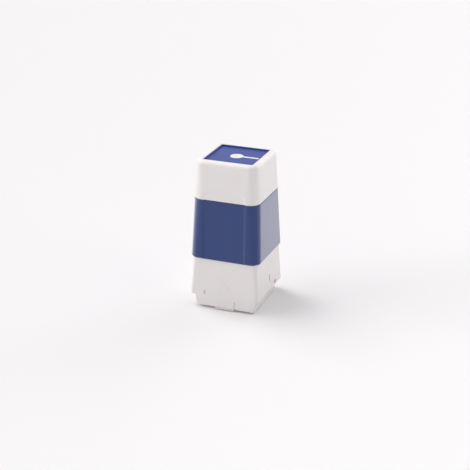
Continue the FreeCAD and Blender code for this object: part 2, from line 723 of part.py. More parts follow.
def make_grip_core():
    """Make the inner frame: flange under the sleeve's step, spring turret and snap hooks."""
    body = new_body("grip_core")
    flange_width = (
        f"({skirt_width_at(f'({NECK_LOW} - sizes.stroke)')} + 2 * sizes.slide_gap"
        " - 2 * sizes.core_flange_gap)"
    )
    flange = rounded_square(body, "flange", CORE_LOW, flange_width, "sizes.skirt_high_corner")
    pad(body, "flange_plate", flange, "sizes.core_flange")
    ring_width = f"({SLEEVE_BORE_WIDTH} - 2 * sizes.neck_wall - 4 * sizes.neck_fit)"
    ring_corner = "(sizes.sleeve_bore_corner - 2 * sizes.neck_fit - sizes.neck_wall)"
    ring = new_sketch(body, "ring", level=NECK_LOW)
    half = f"{ring_width} / 2"
    inner = f"({half} - sizes.core_ring_wall)"
    add_rounded(ring, f"-{half}", half, f"-{half}", half, ring_corner)
    add_rounded(ring, f"-{inner}", inner, f"-{inner}", inner, "sizes.core_ring_corner")
    pad(body, "locating_ring", ring, "sizes.core_ring")
    turret = new_sketch(body, "turret", level=NECK_LOW)
    add_circle(turret, f"2 * ({TURRET_BORE} + sizes.turret_wall)")
    pad(body, "turret_wall", turret, "sizes.turret_height")
    bore = new_sketch(body, "bore", level=CORE_LOW)
    add_circle(bore, f"2 * {TURRET_BORE}")
    pocket(body, "spring_bore", bore, f"{SPRING_ROOF} - {CORE_LOW}", along=True)
    hole = new_sketch(body, "hole", level=TURRET_HIGH)
    add_circle(hole, "sizes.screw_diameter + 2 * sizes.screw_play")
    pocket(body, "screw_hole", hole, "sizes.turret_web")
    arm = new_sketch(body, "arm", "XZ_Plane")
    root = f"({half} - sizes.core_ring_wall)"
    tip = f"({half} + sizes.neck_fit + sizes.hook_reach)"
    arm_high = f"({NECK_LOW} + sizes.hook_height)"
    head_low = f"({arm_high} - sizes.hook_head)"
    add_outline(arm, [
        (root, NECK_LOW),
        (half, NECK_LOW),
        (half, head_low),
        (tip, head_low),
        (half, arm_high),
        (root, arm_high),
    ])
    hook = pad(body, "hook", arm, "sizes.hook_width")
    hook.Midplane = True
    half_turn_copy(body, "hook_pair", [hook])
    return body


# Stem, screw, washer, clip and spring


def turned_body(name, corners):
    """Make a turned piece from half its section, as radius and level."""
    body = new_body(name)
    section = new_sketch(body, "section", "XZ_Plane")
    add_outline(section, corners)
    turn(body, "turning", section)
    return body


def make_stem():
    """Make the guide shaft with its clip groove, snap groove and screw hole."""
    groove_low = f"({CLIP_LOW} - sizes.clip_fit)"
    tip_low = f"({STEM_LOW} + sizes.stem_tip_groove_rise)"
    tip_high = f"({tip_low} + sizes.stem_tip_groove_width)"
    hole_radius = "sizes.screw_diameter / 2"
    hole_low = f"({SPRING_ROOF} - sizes.screw_length)"
    chamfer = "sizes.stem_chamfer"
    return turned_body("stem", [
        ("0", STEM_LOW),
        (f"{STEM_RADIUS} - {chamfer}", STEM_LOW),
        (STEM_RADIUS, f"{STEM_LOW} + {chamfer}"),
        (STEM_RADIUS, tip_low),
        (TIP_RADIUS, tip_low),
        (TIP_RADIUS, tip_high),
        (STEM_RADIUS, tip_high),
        (STEM_RADIUS, groove_low),
        (GROOVE_RADIUS, groove_low),
        (GROOVE_RADIUS, BUSH_LOW),
        (STEM_RADIUS, BUSH_LOW),
        (STEM_RADIUS, SPRING_ROOF),
        (hole_radius, SPRING_ROOF),
        (hole_radius, hole_low),
        ("0", hole_low),
    ])


def make_stem_screw():
    """Make the screw that pulls the stem up against the core's web."""
    washer_high = f"({TURRET_HIGH} + sizes.washer_thickness)"
    head_high = f"({washer_high} + sizes.screw_head_height)"
    drive_low = f"({head_high} - sizes.screw_drive_depth)"
    tip = f"({washer_high} - sizes.screw_length)"
    radius = "(sizes.screw_diameter / 2 - sizes.screw_thread_fit)"
    bevel = "sizes.screw_head_bevel"
    return turned_body("stem_screw", [
        ("0", tip),
        ("sizes.screw_point / 2", tip),
        (radius, f"{tip} + sizes.screw_point"),
        (radius, washer_high),
        ("sizes.screw_head / 2", washer_high),
        ("sizes.screw_head / 2", f"{head_high} - {bevel}"),
        (f"sizes.screw_head / 2 - {bevel}", head_high),
        ("sizes.screw_drive / 2", head_high),
        ("sizes.screw_drive_floor / 2", drive_low),
        ("0", drive_low),
    ])


def make_screw_washer():
    """Make the flat washer under the screw's head."""
    bore = "(sizes.screw_diameter / 2 + sizes.screw_play)"
    high = f"({TURRET_HIGH} + sizes.washer_thickness)"
    edge = "sizes.washer_diameter / 2"
    return turned_body("screw_washer", box_outline(bore, edge, TURRET_HIGH, high))


def make_stop_clip():
    """Make the open clip that snaps round the stem and stops against the bush."""
    body = new_body("stop_clip")
    sketch = new_sketch(body, "ring", level=CLIP_LOW)
    add_circle(sketch, CLIP_DIAMETER)
    add_circle(sketch, f"2 * ({GROOVE_RADIUS} + sizes.clip_fit)")
    pad(body, "ring_plate", sketch, "sizes.clip_thickness")
    mouth = new_sketch(body, "mouth", level=BUSH_LOW)
    half = "sizes.clip_mouth / 2"
    add_outline(mouth, box_outline("0", CLIP_DIAMETER, f"-{half}", half))
    pocket(body, "mouth_cut", mouth, "sizes.clip_thickness")
    return body


def make_spring_seat():
    """Make the hard washer that the spring stands on."""
    bore = f"({BORE_RADIUS} + sizes.stem_running_fit)"
    return turned_body("spring_seat", box_outline(bore, f"{BUSH_FLANGE} / 2", BUSH_HIGH, SEAT_HIGH))


def arc_from_tangent(start, tangent, end):
    """Return the arc that leaves start along tangent and reaches end."""
    chord = end - start
    along = Vector(chord).normalize()
    aside = tangent - along * tangent.dot(along)
    turn_angle = math.atan2(aside.Length, tangent.dot(along))
    middle = start + chord * 0.5 + aside.normalize() * (chord.Length / 2 * math.tan(turn_angle / 2))
    return Part.Arc(start, middle, end)


def biarc(start, start_tangent, end, end_tangent):
    """Return two arcs that meet smoothly between two points with given directions."""
    gap = end - start
    both = start_tangent + end_tangent
    a = both.dot(both) - 4
    b = -2 * gap.dot(both)
    c = gap.dot(gap)
    reach = (-b - math.sqrt(b * b - 4 * a * c)) / (2 * a)
    joint = (start + start_tangent * reach + end - end_tangent * reach) * 0.5
    direction = (end - start - both * reach).normalize()
    return [
        arc_from_tangent(start, start_tangent, joint),
        arc_from_tangent(joint, direction, end),
    ]


def make_return_spring():
    """Wind the compression spring as one unbroken wire, and print its least gap."""
    radius = value(SPRING_MEAN) / 2
    wire = value("sizes.spring_wire") / 2
    turns = value("sizes.spring_turns")
    low = value(SEAT_HIGH) + wire + value("sizes.spring_end_gap")
    high = value(SPRING_ROOF) - wire - value("sizes.spring_end_gap")
    pitch = (high - low) / turns
    quarters = round(turns * 4)

    def spot(step):
        angle = 2 * math.pi * turns * step / quarters
        level = low + pitch * turns * step / quarters
        return Vector(radius * math.cos(angle), radius * math.sin(angle), level)

    def heading(step):
        angle = 2 * math.pi * turns * step / quarters
        rise = pitch / (2 * math.pi)
        return Vector(-radius * math.sin(angle), radius * math.cos(angle), rise).normalize()

    arcs = []
    for step in range(quarters):
        arcs += biarc(spot(step), heading(step), spot(step + 1), heading(step + 1))
    path = Part.Wire([arc.toShape() for arc in arcs])
    section = Part.Wire([Part.Circle(spot(0), heading(0), wire).toShape()])
    shell = Part.BRepOffsetAPI.MakePipeShell(path)
    shell.add(section)
    shell.build()
    shell.makeSolid()
    spring = document.addObject("Part::Feature", "return_spring")
    spring.Label = "return_spring"
    spring.Shape = shell.shape()
    spring.Placement = FreeCAD.Placement()
    samples_per_turn = 48
    samples = path.discretize(Number=round(turns * samples_per_turn) + 1)
    apart = samples_per_turn // 2
    least = min(
        (a - b).Length for i, a in enumerate(samples) for b in samples[i + apart:]
    ) - 2 * wire
    print("return_spring: least gap between turns", round(least, 3), "mm")
    print("return_spring: volume", round(spring.Shape.Volume, 2), "against",
          round(math.pi * wire ** 2 * path.Length, 2))
    return spring


# Skirt and bush


def make_skirt():
    """Make the lower shell: drafted walls, two aprons and the bridge."""
    body = new_body("skirt")
    low = rounded_square(body, "low", FOOT, skirt_width_at(FOOT), "sizes.skirt_low_corner")
    high = rounded_square(body, "high", SKIRT_TOP, skirt_width_at(SKIRT_TOP), "sizes.skirt_high_corner")
    loft(body, "outside", low, high)
    walls = "2 * sizes.skirt_wall"
    inner_corner = "sizes.skirt_inner_corner"
    below = f"({FOOT} - {OVERSHOOT})"
    mouth = rounded_square(body, "mouth", below, f"{skirt_width_at(below)} - {walls}", inner_corner)
    roof = rounded_square(body, "roof", BRIDGE_LOW, f"{skirt_width_at(BRIDGE_LOW)} - {walls}", inner_corner)
    loft(body, "hollow", mouth, roof, cut=True)
    well = rounded_square(body, "well", SKIRT_TOP, f"{skirt_width_at(SKIRT_TOP)} - {walls}", inner_corner)
    pocket(body, "spring_well", well, "sizes.bridge_drop")
    hole = new_sketch(body, "bush_seat", level=BRIDGE_HIGH)
    add_circle(hole, f"2 * ({BUSH_RADIUS} + sizes.bush_fit)")
    pocket(body, "bush_hole", hole, "sizes.bridge_thickness")

    sides = new_sketch(body, "sides", "XZ_Plane")
    beyond = SKIRT_FOOT_WIDTH
    for sign in ("", "-"):
        add_outline(sides, [
            (f"{sign}{APRON_LOW_HALF}", below),
            (f"{sign}{APRON_LOW_HALF}", FOOT),
            (f"{sign}{APRON_HALF}", SIDE_EDGE),
            (f"{sign}{beyond}", SIDE_EDGE),
            (f"{sign}{beyond}", below),
        ])
    slot_through(body, "side_cut", sides, f"2 * {beyond}")
    foot = value(FOOT)
    apron_half = value(APRON_LOW_HALF)

    def apron_edge(edge):
        box = edge.BoundBox
        open_corner = box.XMin * box.YMin > 0
        return open_corner and at_level(edge, foot) and abs(abs(box.Center.x) - apron_half) < 1e-3

    dress(body, "Fillet", "apron_round", "Radius", "sizes.apron_corner", apron_edge)

    slit = new_sketch(body, "slit", "XZ_Plane")
    slit_left = "(sizes.lip_right + sizes.slit_gap)"
    slit_right = f"({slit_left} + sizes.slit_width)"
    add_outline(slit, box_outline(slit_left, slit_right, below, f"{FOOT} + sizes.slit_height"))
    slit_cut = pocket(body, "slit_cut", slit, beyond, along=True)
    half_turn_copy(body, "slit_pair", [slit_cut])

    port_low = f"({FOOT} + sizes.port_rise)"
    port_half = "sizes.port_width / 2"
    port = new_sketch(body, "port", "XZ_Plane", f"{skirt_width_at(port_low)} / 2 - sizes.port_depth")
    add_rounded(
        port, f"-{PORT_OFFSET} - {port_half}", f"-{PORT_OFFSET} + {port_half}",
        port_low, f"{port_low} + sizes.port_height", "sizes.port_corner",
    )
    port_cut = pocket(body, "port_cut", port, beyond, along=True)
    half_turn_copy(body, "port_pair", [port_cut])

    side_slit = new_sketch(body, "side_slit", "YZ_Plane")
    slit_half = "sizes.side_slit_width / 2"
    slit_low = f"({SIDE_EDGE} + sizes.side_slit_rise)"
    add_outline(side_slit, box_outline(
        f"sizes.side_slit_side - {slit_half}", f"sizes.side_slit_side + {slit_half}",
        slit_low, f"{slit_low} + sizes.side_slit_height",
    ))
    side_slit_cut = pocket(body, "side_slit_cut", side_slit, beyond, along=True)
    half_turn_copy(body, "side_slit_pair", [side_slit_cut])

    window = new_sketch(body, "window", "YZ_Plane")
    window_half = "sizes.window_width / 2"
    window_low = f"({SIDE_EDGE} + sizes.window_rise)"
    add_rounded(
        window, f"sizes.window_side - {window_half}", f"sizes.window_side + {window_half}",
        window_low, f"{window_low} + sizes.window_height", "sizes.window_corner",
    )
    window_cut = pocket(body, "window_cut", window, beyond, along=True)
    half_turn_copy(body, "window_pair", [window_cut])

    mark_level = f"({FOOT} + sizes.mark_rise)"
    mark = new_sketch(
        body, "mark", "XZ_Plane",
        f"{skirt_width_at(mark_level)} / 2 - sizes.skirt_wall / 2", mark_level, "-sizes.skirt_draft",
    )
    half = "sizes.mark_width / 2"
    inner = f"({half} - sizes.mark_rib)"
    eave = "(sizes.mark_height - sizes.mark_width / 2)"
    roof_rib = "(sizes.mark_rib * sqrt(2))"
    add_outline(mark, [
        (f"-{half}", "0"),
        (f"-{inner}", "0"),
        (f"-{inner}", eave),
        ("0", f"sizes.mark_height - {roof_rib}"),
        (inner, eave),
        (inner, "0"),
        (half, "0"),
        (half, eave),
        ("0", "sizes.mark_height"),
        (f"-{half}", eave),
    ])
    mark_pad = pad(body, "mark_rib", mark, "sizes.skirt_wall / 2 + sizes.mark_proud")
    half_turn_copy(body, "mark_pair", [mark_pad])
    return body


def make_stem_bush():
    """Make the flanged bush that guides the stem through the bridge."""
    flange = f"{BUSH_FLANGE} / 2"
    return turned_body("stem_bush", [
        (BORE_RADIUS, BUSH_LOW),
        (BUSH_RADIUS, BUSH_LOW),
        (BUSH_RADIUS, BRIDGE_HIGH),
        (flange, BRIDGE_HIGH),
        (flange, BUSH_HIGH),
        (BORE_RADIUS, BUSH_HIGH),
    ])


# Die unit


def make_die_holder():
    """Make the holder: tray over the ink pad, stem socket, ribs and two ink ports."""
    body = new_body("die_holder")
    inner = f"({HOLDER_WIDTH} - 2 * sizes.holder_wall)"
    corner = "(sizes.frame_corner - sizes.frame_wall)"
    tray = rounded_square(body, "tray", DIE_BACK, HOLDER_WIDTH, corner)
    pad(body, "tray_block", tray, f"{HOLDER_HIGH} - {DIE_BACK}")
    shoulder = rounded_square(body, "shoulder", FRAME_HIGH, FRAME_WIDTH, "sizes.frame_corner")
    pad(body, "shoulder_plate", shoulder, "sizes.holder_shoulder")
    chamber = rounded_square(body, "chamber", DIE_BACK, inner, "sizes.die_corner")
    pocket(body, "pad_chamber", chamber, "sizes.pad_thickness", along=True)
    socket = new_sketch(body, "socket", level=HOLDER_HIGH)
    add_circle(socket, "sizes.stem_diameter + 2 * sizes.socket_wall")
    pad(body, "socket_boss", socket, "sizes.socket_height")
    rib = new_sketch(body, "rib", level=HOLDER_HIGH)
    rib_half = "sizes.rib_thickness / 2"
    rib_root = f"({STEM_RADIUS} + sizes.socket_wall / 2)"
    rib_tip = f"({inner} / 2)"
    add_outline(rib, box_outline(rib_root, rib_tip, f"-{rib_half}", rib_half))
    rib_pad = pad(body, "rib_wall", rib, "sizes.rib_height")
    quarter_turn_copies(body, "ribs", [rib_pad])
    bead_low = f"({STEM_LOW} + sizes.stem_tip_groove_rise + sizes.holder_fit)"
    bead_high = f"({bead_low} + sizes.stem_tip_groove_width - 2 * sizes.holder_fit)"
    bore = f"({STEM_RADIUS} + sizes.holder_fit)"
    bead = f"({TIP_RADIUS} + sizes.holder_fit)"
    section = new_sketch(body, "bore_section", "XZ_Plane")
    add_outline(section, [
        ("0", STEM_LOW),
        (bore, STEM_LOW),
        (bore, bead_low),
        (bead, bead_low),
        (bead, bead_high),
        (bore, bead_high),
        (bore, f"{SOCKET_HIGH} + {OVERSHOOT}"),
        ("0", f"{SOCKET_HIGH} + {OVERSHOOT}"),
    ])
    turn(body, "stem_bore", section, cut=True)
    port = new_sketch(body, "port", level=HOLDER_HIGH)
    for sign in ("", "-"):
        place = f"{sign}{INK_PORT_OFFSET}"
        add_circle(port, "sizes.ink_port_diameter", place, place)
    pocket(body, "ink_ports", port, "sizes.holder_top")
    return body


def make_ink_port_plugs():
    """Make the two plugs that close the ink ports, two separate solids of one node."""
    plugs = []
    for name, sign in (("front", "-"), ("back", "")):
        place = f"{sign}{INK_PORT_OFFSET}"
        shank = document.addObject("Part::Cylinder", f"plug_shank_{name}")
        head = document.addObject("Part::Cylinder", f"plug_head_{name}")
        bind(shank, "Radius", "sizes.ink_port_diameter / 2 - sizes.plug_fit")
        bind(shank, "Height", "sizes.holder_top")
        bind(head, "Radius", "sizes.plug_head / 2")
        bind(head, "Height", "sizes.plug_head_height")
        for piece, level in ((shank, PAD_HIGH), (head, HOLDER_HIGH)):
            bind(piece, "Placement.Base.x", place)
            bind(piece, "Placement.Base.y", place)
            bind(piece, "Placement.Base.z", level)
        plug = document.addObject("Part::Fuse", f"plug_{name}")
        plug.Base = shank
        plug.Tool = head
        plugs.append(plug)
    pair = document.addObject("Part::Compound", "ink_port_plugs")
    pair.Label = "ink_port_plugs"
    pair.Links = plugs
    return pair


def plate_body(name, level, width, corner, height):
    """Make a plain square plate with round corners."""
    body = new_body(name)
    sketch = rounded_square(body, "plate", level, width, corner)
    pad(body, "block", sketch, height)
    return body


def make_ink_pad():
    """Make the felt reservoir above the die."""
    inner = f"({HOLDER_WIDTH} - 2 * sizes.holder_wall)"
    width = f"{inner} - 2 * sizes.pad_fit"
    return plate_body("ink_pad", DIE_BACK, width, "sizes.die_corner", "sizes.pad_thickness")


def make_stamp_die():
    """Make the porous die: its face block and the wider flange that the frame clamps."""
    body = plate_body("stamp_die", DIE_FACE, DIE_WIDTH, "sizes.die_corner", "sizes.die_thickness")
    flange = rounded_square(body, "flange", DIE_STEP, DIE_FLANGE_WIDTH, "sizes.die_corner")
    pad(body, "flange_block", flange, "sizes.die_flange_thickness")
    return body


def make_die_frame():
    """Make the frame that clips round the die and the holder."""
    body = plate_body("die_frame", FRAME_LOW, FRAME_WIDTH, "sizes.frame_corner", "sizes.frame_wall_height")
    opening_width = f"{DIE_WIDTH} + 2 * sizes.die_fit"
    opening = rounded_square(body, "opening", FRAME_LOW, opening_width, "sizes.die_corner")
    pocket(body, "die_opening", opening, "sizes.frame_wall_height", along=True)
    corner = "(sizes.frame_corner - sizes.frame_wall + sizes.holder_fit)"
    seat = rounded_square(body, "seat", DIE_STEP, f"{HOLDER_WIDTH} + 2 * sizes.holder_fit", corner)
    pocket(body, "holder_seat", seat, "sizes.frame_wall_height", along=True)
    return body


# Protective cap


def make_protective_cap():
    """Make the cap: a tray, a pull lip at the front and the back, and a wing on each side."""
    body = new_body("protective_cap")
    rim_width = (
        f"({skirt_width_at('sizes.cap_height')} - 2 * sizes.skirt_wall - 2 * sizes.cap_rim_gap)"
    )
    low = rounded_square(body, "low", "0", CAP_FOOT_WIDTH, "sizes.cap_corner")
    high = rounded_square(body, "high", "sizes.cap_height", rim_width, "sizes.cap_corner")
    loft(body, "outside", low, high)
    strips = []
    for name, level, outer, reach, corner in (
        ("wing_low", "sizes.wing_rise", f"{SKIRT_FOOT_WIDTH} / 2 - sizes.wing_draw_in",
         "sizes.wing_low_reach", "sizes.wing_low_corner"),
        ("wing_high", WING_HIGH, f"{skirt_width_at(WING_HIGH)} / 2",
         "sizes.wing_high_reach", skirt_corner_at(WING_HIGH)),
    ):
        strip = new_sketch(body, name, level=level)
        inner = f"{apron_edge_at(level)} + sizes.wing_seam"
        add_side_strip(strip, inner, outer, f"-{skirt_width_at(level)} / 2", reach, corner)
        strips.append(strip)
    wing = loft(body, "wing", *strips)
    relief = new_sketch(body, "wing_relief", level=FOOT)
    wall = f"({SKIRT_FOOT_WIDTH} / 2 - sizes.skirt_wall)"
    add_outline(relief, box_outline(APRON_LOW_HALF, f"{SKIRT_FOOT_WIDTH} / 2", f"-{SKIRT_FOOT_WIDTH}", f"-{wall}"))
    relief_cut = pocket(body, "wing_relief_cut", relief, FOOT)
    half_turn_copy(body, "wing_pair", [wing, relief_cut])
    lip = new_sketch(body, "lip", level="sizes.lip_rise")
    root = f"-({CAP_FOOT_WIDTH} / 2 - sizes.cap_wall)"
    add_outline(lip, box_outline("-sizes.lip_left", "sizes.lip_right", f"-{LIP_REACH}", root))
    lip_pad = pad(body, "lip_plate", lip, f"{LIP_HIGH} - sizes.lip_rise")
    half_turn_copy(body, "lip_pair", [lip_pad])
    bead = new_sketch(body, "bead", "YZ_Plane")
    bead_centre = "((sizes.side_slit_side + sizes.window_side) / 2)"
    bead_high = "(sizes.cap_height - sizes.bead_drop)"
    bead_low = f"({bead_high} - sizes.bead_height)"
    bead_left = f"({bead_centre} - sizes.bead_width / 2)"
    bead_right = f"({bead_centre} + sizes.bead_width / 2)"
    add_outline(bead, box_outline(bead_left, bead_right, bead_low, bead_high))
    wall_half = f"({skirt_width_at(bead_high)} / 2 - sizes.skirt_wall)"
    bead_pad = pad(body, "bead_block", bead, f"{wall_half} - sizes.bead_fit")
    half_turn_copy(body, "bead_pair", [bead_pad])
    walls = "2 * sizes.cap_wall"
    floor = rounded_square(
        body, "floor", CAP_FLOOR, f"{CAP_FOOT_WIDTH} - {walls}", "sizes.cap_corner - sizes.cap_wall"
    )
    above = f"(sizes.cap_height + {OVERSHOOT})"
    mouth = rounded_square(
        body, "mouth", above, f"{rim_width} - {walls}", "sizes.cap_corner - sizes.cap_wall"
    )
    loft(body, "hollow", floor, mouth, cut=True)
    lip_high = value(LIP_HIGH)
    reach_at = value(LIP_REACH)

    def lip_edge(edge):
        box = edge.BoundBox
        return at_level(edge, lip_high) and min(abs(box.YMin), abs(box.YMax)) > reach_at - 1e-3

    dress(body, "Chamfer", "lip_bevel", "Size", "sizes.lip_bevel", lip_edge)
    return body


def check(subparts):
    """Stop if any object failed or any sub-part's shape is empty or not valid."""
    for item in document.Objects:
        assert not {"Invalid", "Error"} & set(item.State), f"{item.Name} failed: {item.State}"
    for item in subparts:
        shape = item.Shape
        assert not shape.isNull() and shape.isValid() and shape.Volume > 0, f"{item.Label} is not sound"


def main():
    """Build every sub-part, check them and write one file for each."""
    subparts = [
        make_handle_cover(),
        make_label_plate(),
        make_grip_sleeve(),
        make_grip_core(),
        make_stem(),
        make_stem_screw(),
        make_screw_washer(),
        make_stop_clip(),
        make_spring_seat(),
        make_return_spring(),
        make_skirt(),
        make_stem_bush(),
        make_die_holder(),
        make_ink_port_plugs(),
        make_ink_pad(),
        make_stamp_die(),
        make_die_frame(),
        make_protective_cap(),
    ]
    document.recompute()
    check(subparts)
    os.makedirs("parts", exist_ok=True)
    for item in subparts:
        shape = item.Shape
        shape.exportStep(f"parts/{item.Label}.step")
        print(f"{item.Label}: {len(shape.Solids)} solid, {shape.Volume:.1f} mm3")


main()
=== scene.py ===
"""Looks of a capped, pre-inked hand stamp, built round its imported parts.

The stamp stands on a pale table: +Z up, the origin in the middle of the cap's underside, -Y towards
the front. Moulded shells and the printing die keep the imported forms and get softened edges, the die
a sunk field too. The spring, the screw and the ink felt are modelled here. Lengths in the classes are
millimetres.
"""

import logging
import math
from dataclasses import dataclass, field
from enum import Enum
from typing import Any, Callable

import bmesh
import bpy
from mathutils import Matrix, Vector, noise


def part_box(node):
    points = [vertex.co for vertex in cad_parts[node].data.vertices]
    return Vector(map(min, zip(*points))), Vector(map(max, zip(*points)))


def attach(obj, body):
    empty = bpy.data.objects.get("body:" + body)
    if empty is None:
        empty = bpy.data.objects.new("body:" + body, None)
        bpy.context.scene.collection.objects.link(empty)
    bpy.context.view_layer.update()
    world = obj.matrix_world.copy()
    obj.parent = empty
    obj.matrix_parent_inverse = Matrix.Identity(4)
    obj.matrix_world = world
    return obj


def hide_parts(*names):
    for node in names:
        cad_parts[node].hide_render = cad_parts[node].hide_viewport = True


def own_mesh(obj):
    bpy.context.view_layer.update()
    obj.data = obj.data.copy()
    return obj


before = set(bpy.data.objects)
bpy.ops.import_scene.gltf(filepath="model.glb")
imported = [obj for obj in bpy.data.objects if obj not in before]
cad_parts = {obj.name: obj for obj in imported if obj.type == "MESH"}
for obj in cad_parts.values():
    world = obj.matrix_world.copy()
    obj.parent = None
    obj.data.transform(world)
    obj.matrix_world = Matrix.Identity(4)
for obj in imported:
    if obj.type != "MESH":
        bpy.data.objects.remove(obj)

log = logging.getLogger("stamp")

MM = 0.001
# Painted sheen: the plastic's colour is mixed towards a pale colour at a grazing view, standing in for the
# bright surroundings that its face reflects there; the power makes the paling rise steeply towards the
# grazing edge
PAINTED_SHEEN_POWER = 3.0
PAINTED_SHEEN_COLOUR = "dfdde6"
# Lamps shine evenly from any distance, so this one in metres only keeps them clear of the stamp
LAMP_DISTANCE = 0.6
# Most values of a noise texture lie between these two
NOISE_LOW, NOISE_HIGH = 0.3, 0.7


class Rider(Enum):
    """The three groups of pieces that move as one."""

    CAP = "cap"
    SKIRT = "skirt"
    GRIP = "grip"


class Grain(Enum):
    """How a mould or tool left a surface, as its grain's width and depth in millimetres."""

    SPARK_FINE = (0.11, 0.0035)
    SPARK_MEDIUM = (0.16, 0.006)
    POLISHED = (0.5, 0.0008)
    TURNED = (0.06, 0.002)


def linear(code: str) -> tuple[float, float, float, float]:
    """Turn an sRGB hex colour into the linear values that shaders take.

    Args:
        code: Six hex digits, such as "e6e4e2".

    Returns:
        Red, green, blue and an alpha of 1.
    """
    channels = [int(code[i:i + 2], 16) / 255 for i in (0, 2, 4)]
    red, green, blue = (c / 12.92 if c <= 0.04045 else ((c + 0.055) / 1.055) ** 2.4 for c in channels)
    return red, green, blue, 1.0


def add(
    tree: bpy.types.NodeTree, kind: str, inputs: dict[Any, Any] | None = None, **settings: Any
) -> bpy.types.Node:
    """Add a node with its settings, constants and links.

    Args:
        tree: The shader or geometry tree that gets the node.
        kind: The node's type name.
        inputs: Input name or number to a constant, or to the output socket that feeds it.
        **settings: Properties of the node itself.

    Returns:
        The new node.
    """
    made = tree.nodes.new(kind)
    for name, setting in settings.items():
        setattr(made, name, setting)
    for key, feed in (inputs or {}).items():
        if isinstance(feed, bpy.types.NodeSocket):
            tree.links.new(feed, made.inputs[key])
        else:
            made.inputs[key].default_value = feed
    return made


# Finishes


@dataclass(frozen=True)
class Finish:
    """What every finish shares: its name and how its material is started.

    Attributes:
        name: The material's name.
    """

    name: str

    def start(self) -> tuple[bpy.types.Material, bpy.types.NodeTree, bpy.types.NodeSocket]:
        """Make an empty material.

        Returns:
            The material, its tree and the output of its object coordinates.
        """
        material = bpy.data.materials.new(self.name)
        material.use_nodes = True
        tree = material.node_tree
        tree.nodes.clear()
        coords = add(tree, "ShaderNodeTexCoord")
        return material, tree, coords.outputs["Object"]

    def end(self, tree: bpy.types.NodeTree, shader: bpy.types.Node) -> None:
        """Lead the shader to the material's output."""
        add(tree, "ShaderNodeOutputMaterial", {"Surface": shader.outputs[0]})

    def gloss(
        self, tree: bpy.types.NodeTree, noise_node: bpy.types.Node, low: float, high: float
    ) -> bpy.types.NodeSocket:
        """Let a noise drive the roughness between two values.

        Args:
            tree: The material's tree.
            noise_node: The noise texture.
            low: Roughness at the noise's low end.
            high: Roughness at its high end.

        Returns:
            The output that carries the roughness.
        """
        return add(tree, "ShaderNodeMapRange", {
            "Value": noise_node.outputs["Fac"], "From Min": NOISE_LOW, "From Max": NOISE_HIGH,
            "To Min": low, "To Max": high,
        }).outputs["Result"]

    def material(self) -> bpy.types.Material:
        """Return the finish's material, made on its first use."""
        return bpy.data.materials.get(self.name) or self.make()

    def make(self) -> bpy.types.Material:
        """Make the material; each finish has its own."""
        raise NotImplementedError


@dataclass(frozen=True)
class MouldedPlastic(Finish):
    """Injection-moulded plastic: a spark-eroded grain with faint flow clouds in its gloss, and a painted
    pale sheen mixed into its colour at a grazing view.

    Attributes:
        colour: The plastic's sRGB colour.
        shade: The slightly darker colour of its flow clouds.
        roughness: Middle roughness of the moulded face.
        grain: The mould's texture.
        depth: Share of light that goes into the plastic before it comes out.
        cloud_mm: Width of the flow clouds.
        painted_sheen: How far the colour is mixed towards the pale painted sheen at a grazing view.
        mirror: Share of a plain plastic's reflection, 0.5 for a moulded face.
        drift: How far the roughness wanders with the flow clouds.
        depth_mm: How far light spreads inside the plastic.
    """

    colour: str = "e0dedc"
    shade: str = "dbd9d6"
    roughness: float = 0.42
    grain: Grain = Grain.SPARK_FINE
    depth: float = 0.0
    cloud_mm: float = 7.0
    painted_sheen: float = 0.0
    mirror: float = 0.5
    drift: float = 0.03
    depth_mm: float = 0.6

    def make(self) -> bpy.types.Material:
        """Make the plastic's material.

        Returns:
            The new material.
        """
        material, tree, coords = self.start()
        width_mm, height_mm = self.grain.value
        grain = add(tree, "ShaderNodeTexNoise", {
            "Vector": coords, "Scale": 1 / (width_mm * MM), "Detail": 2.0,
        })
        clouds = add(tree, "ShaderNodeTexNoise", {
            "Vector": coords, "Scale": 1 / (self.cloud_mm * MM), "Detail": 3.0,
        })
        colour = add(tree, "ShaderNodeMix", {
            "Factor": clouds.outputs["Fac"], "A": linear(self.colour), "B": linear(self.shade),
        }, data_type="RGBA")
        # Painted sheen: towards a grazing view the colour is mixed with a pale one, standing in for
        # reflected light
        slant = add(tree, "ShaderNodeLayerWeight", {"Blend": 0.5})
        steep = add(tree, "ShaderNodeMath", {
            0: slant.outputs["Facing"], 1: PAINTED_SHEEN_POWER,
        }, operation="POWER")
        spread = add(tree, "ShaderNodeMath", {
            0: steep.outputs[0], 1: self.painted_sheen,
        }, operation="MULTIPLY", use_clamp=True)
        with_painted_sheen = add(tree, "ShaderNodeMix", {
            "Factor": spread.outputs[0], "A": colour.outputs["Result"], "B": linear(PAINTED_SHEEN_COLOUR),
        }, data_type="RGBA")
        gloss = self.gloss(tree, clouds, self.roughness - self.drift, self.roughness + self.drift)
        relief = add(tree, "ShaderNodeBump", {
            "Height": grain.outputs["Fac"], "Strength": 0.5, "Distance": height_mm * MM,
        })
        shader = add(tree, "ShaderNodeBsdfPrincipled", {
            "Base Color": with_painted_sheen.outputs["Result"], "Roughness": gloss,
            "Normal": relief.outputs["Normal"], "IOR": 1.5, "Specular IOR Level": self.mirror,
            "Subsurface Weight": self.depth, "Subsurface Scale": self.depth_mm * MM,
        })
        self.end(tree, shader)
        return material


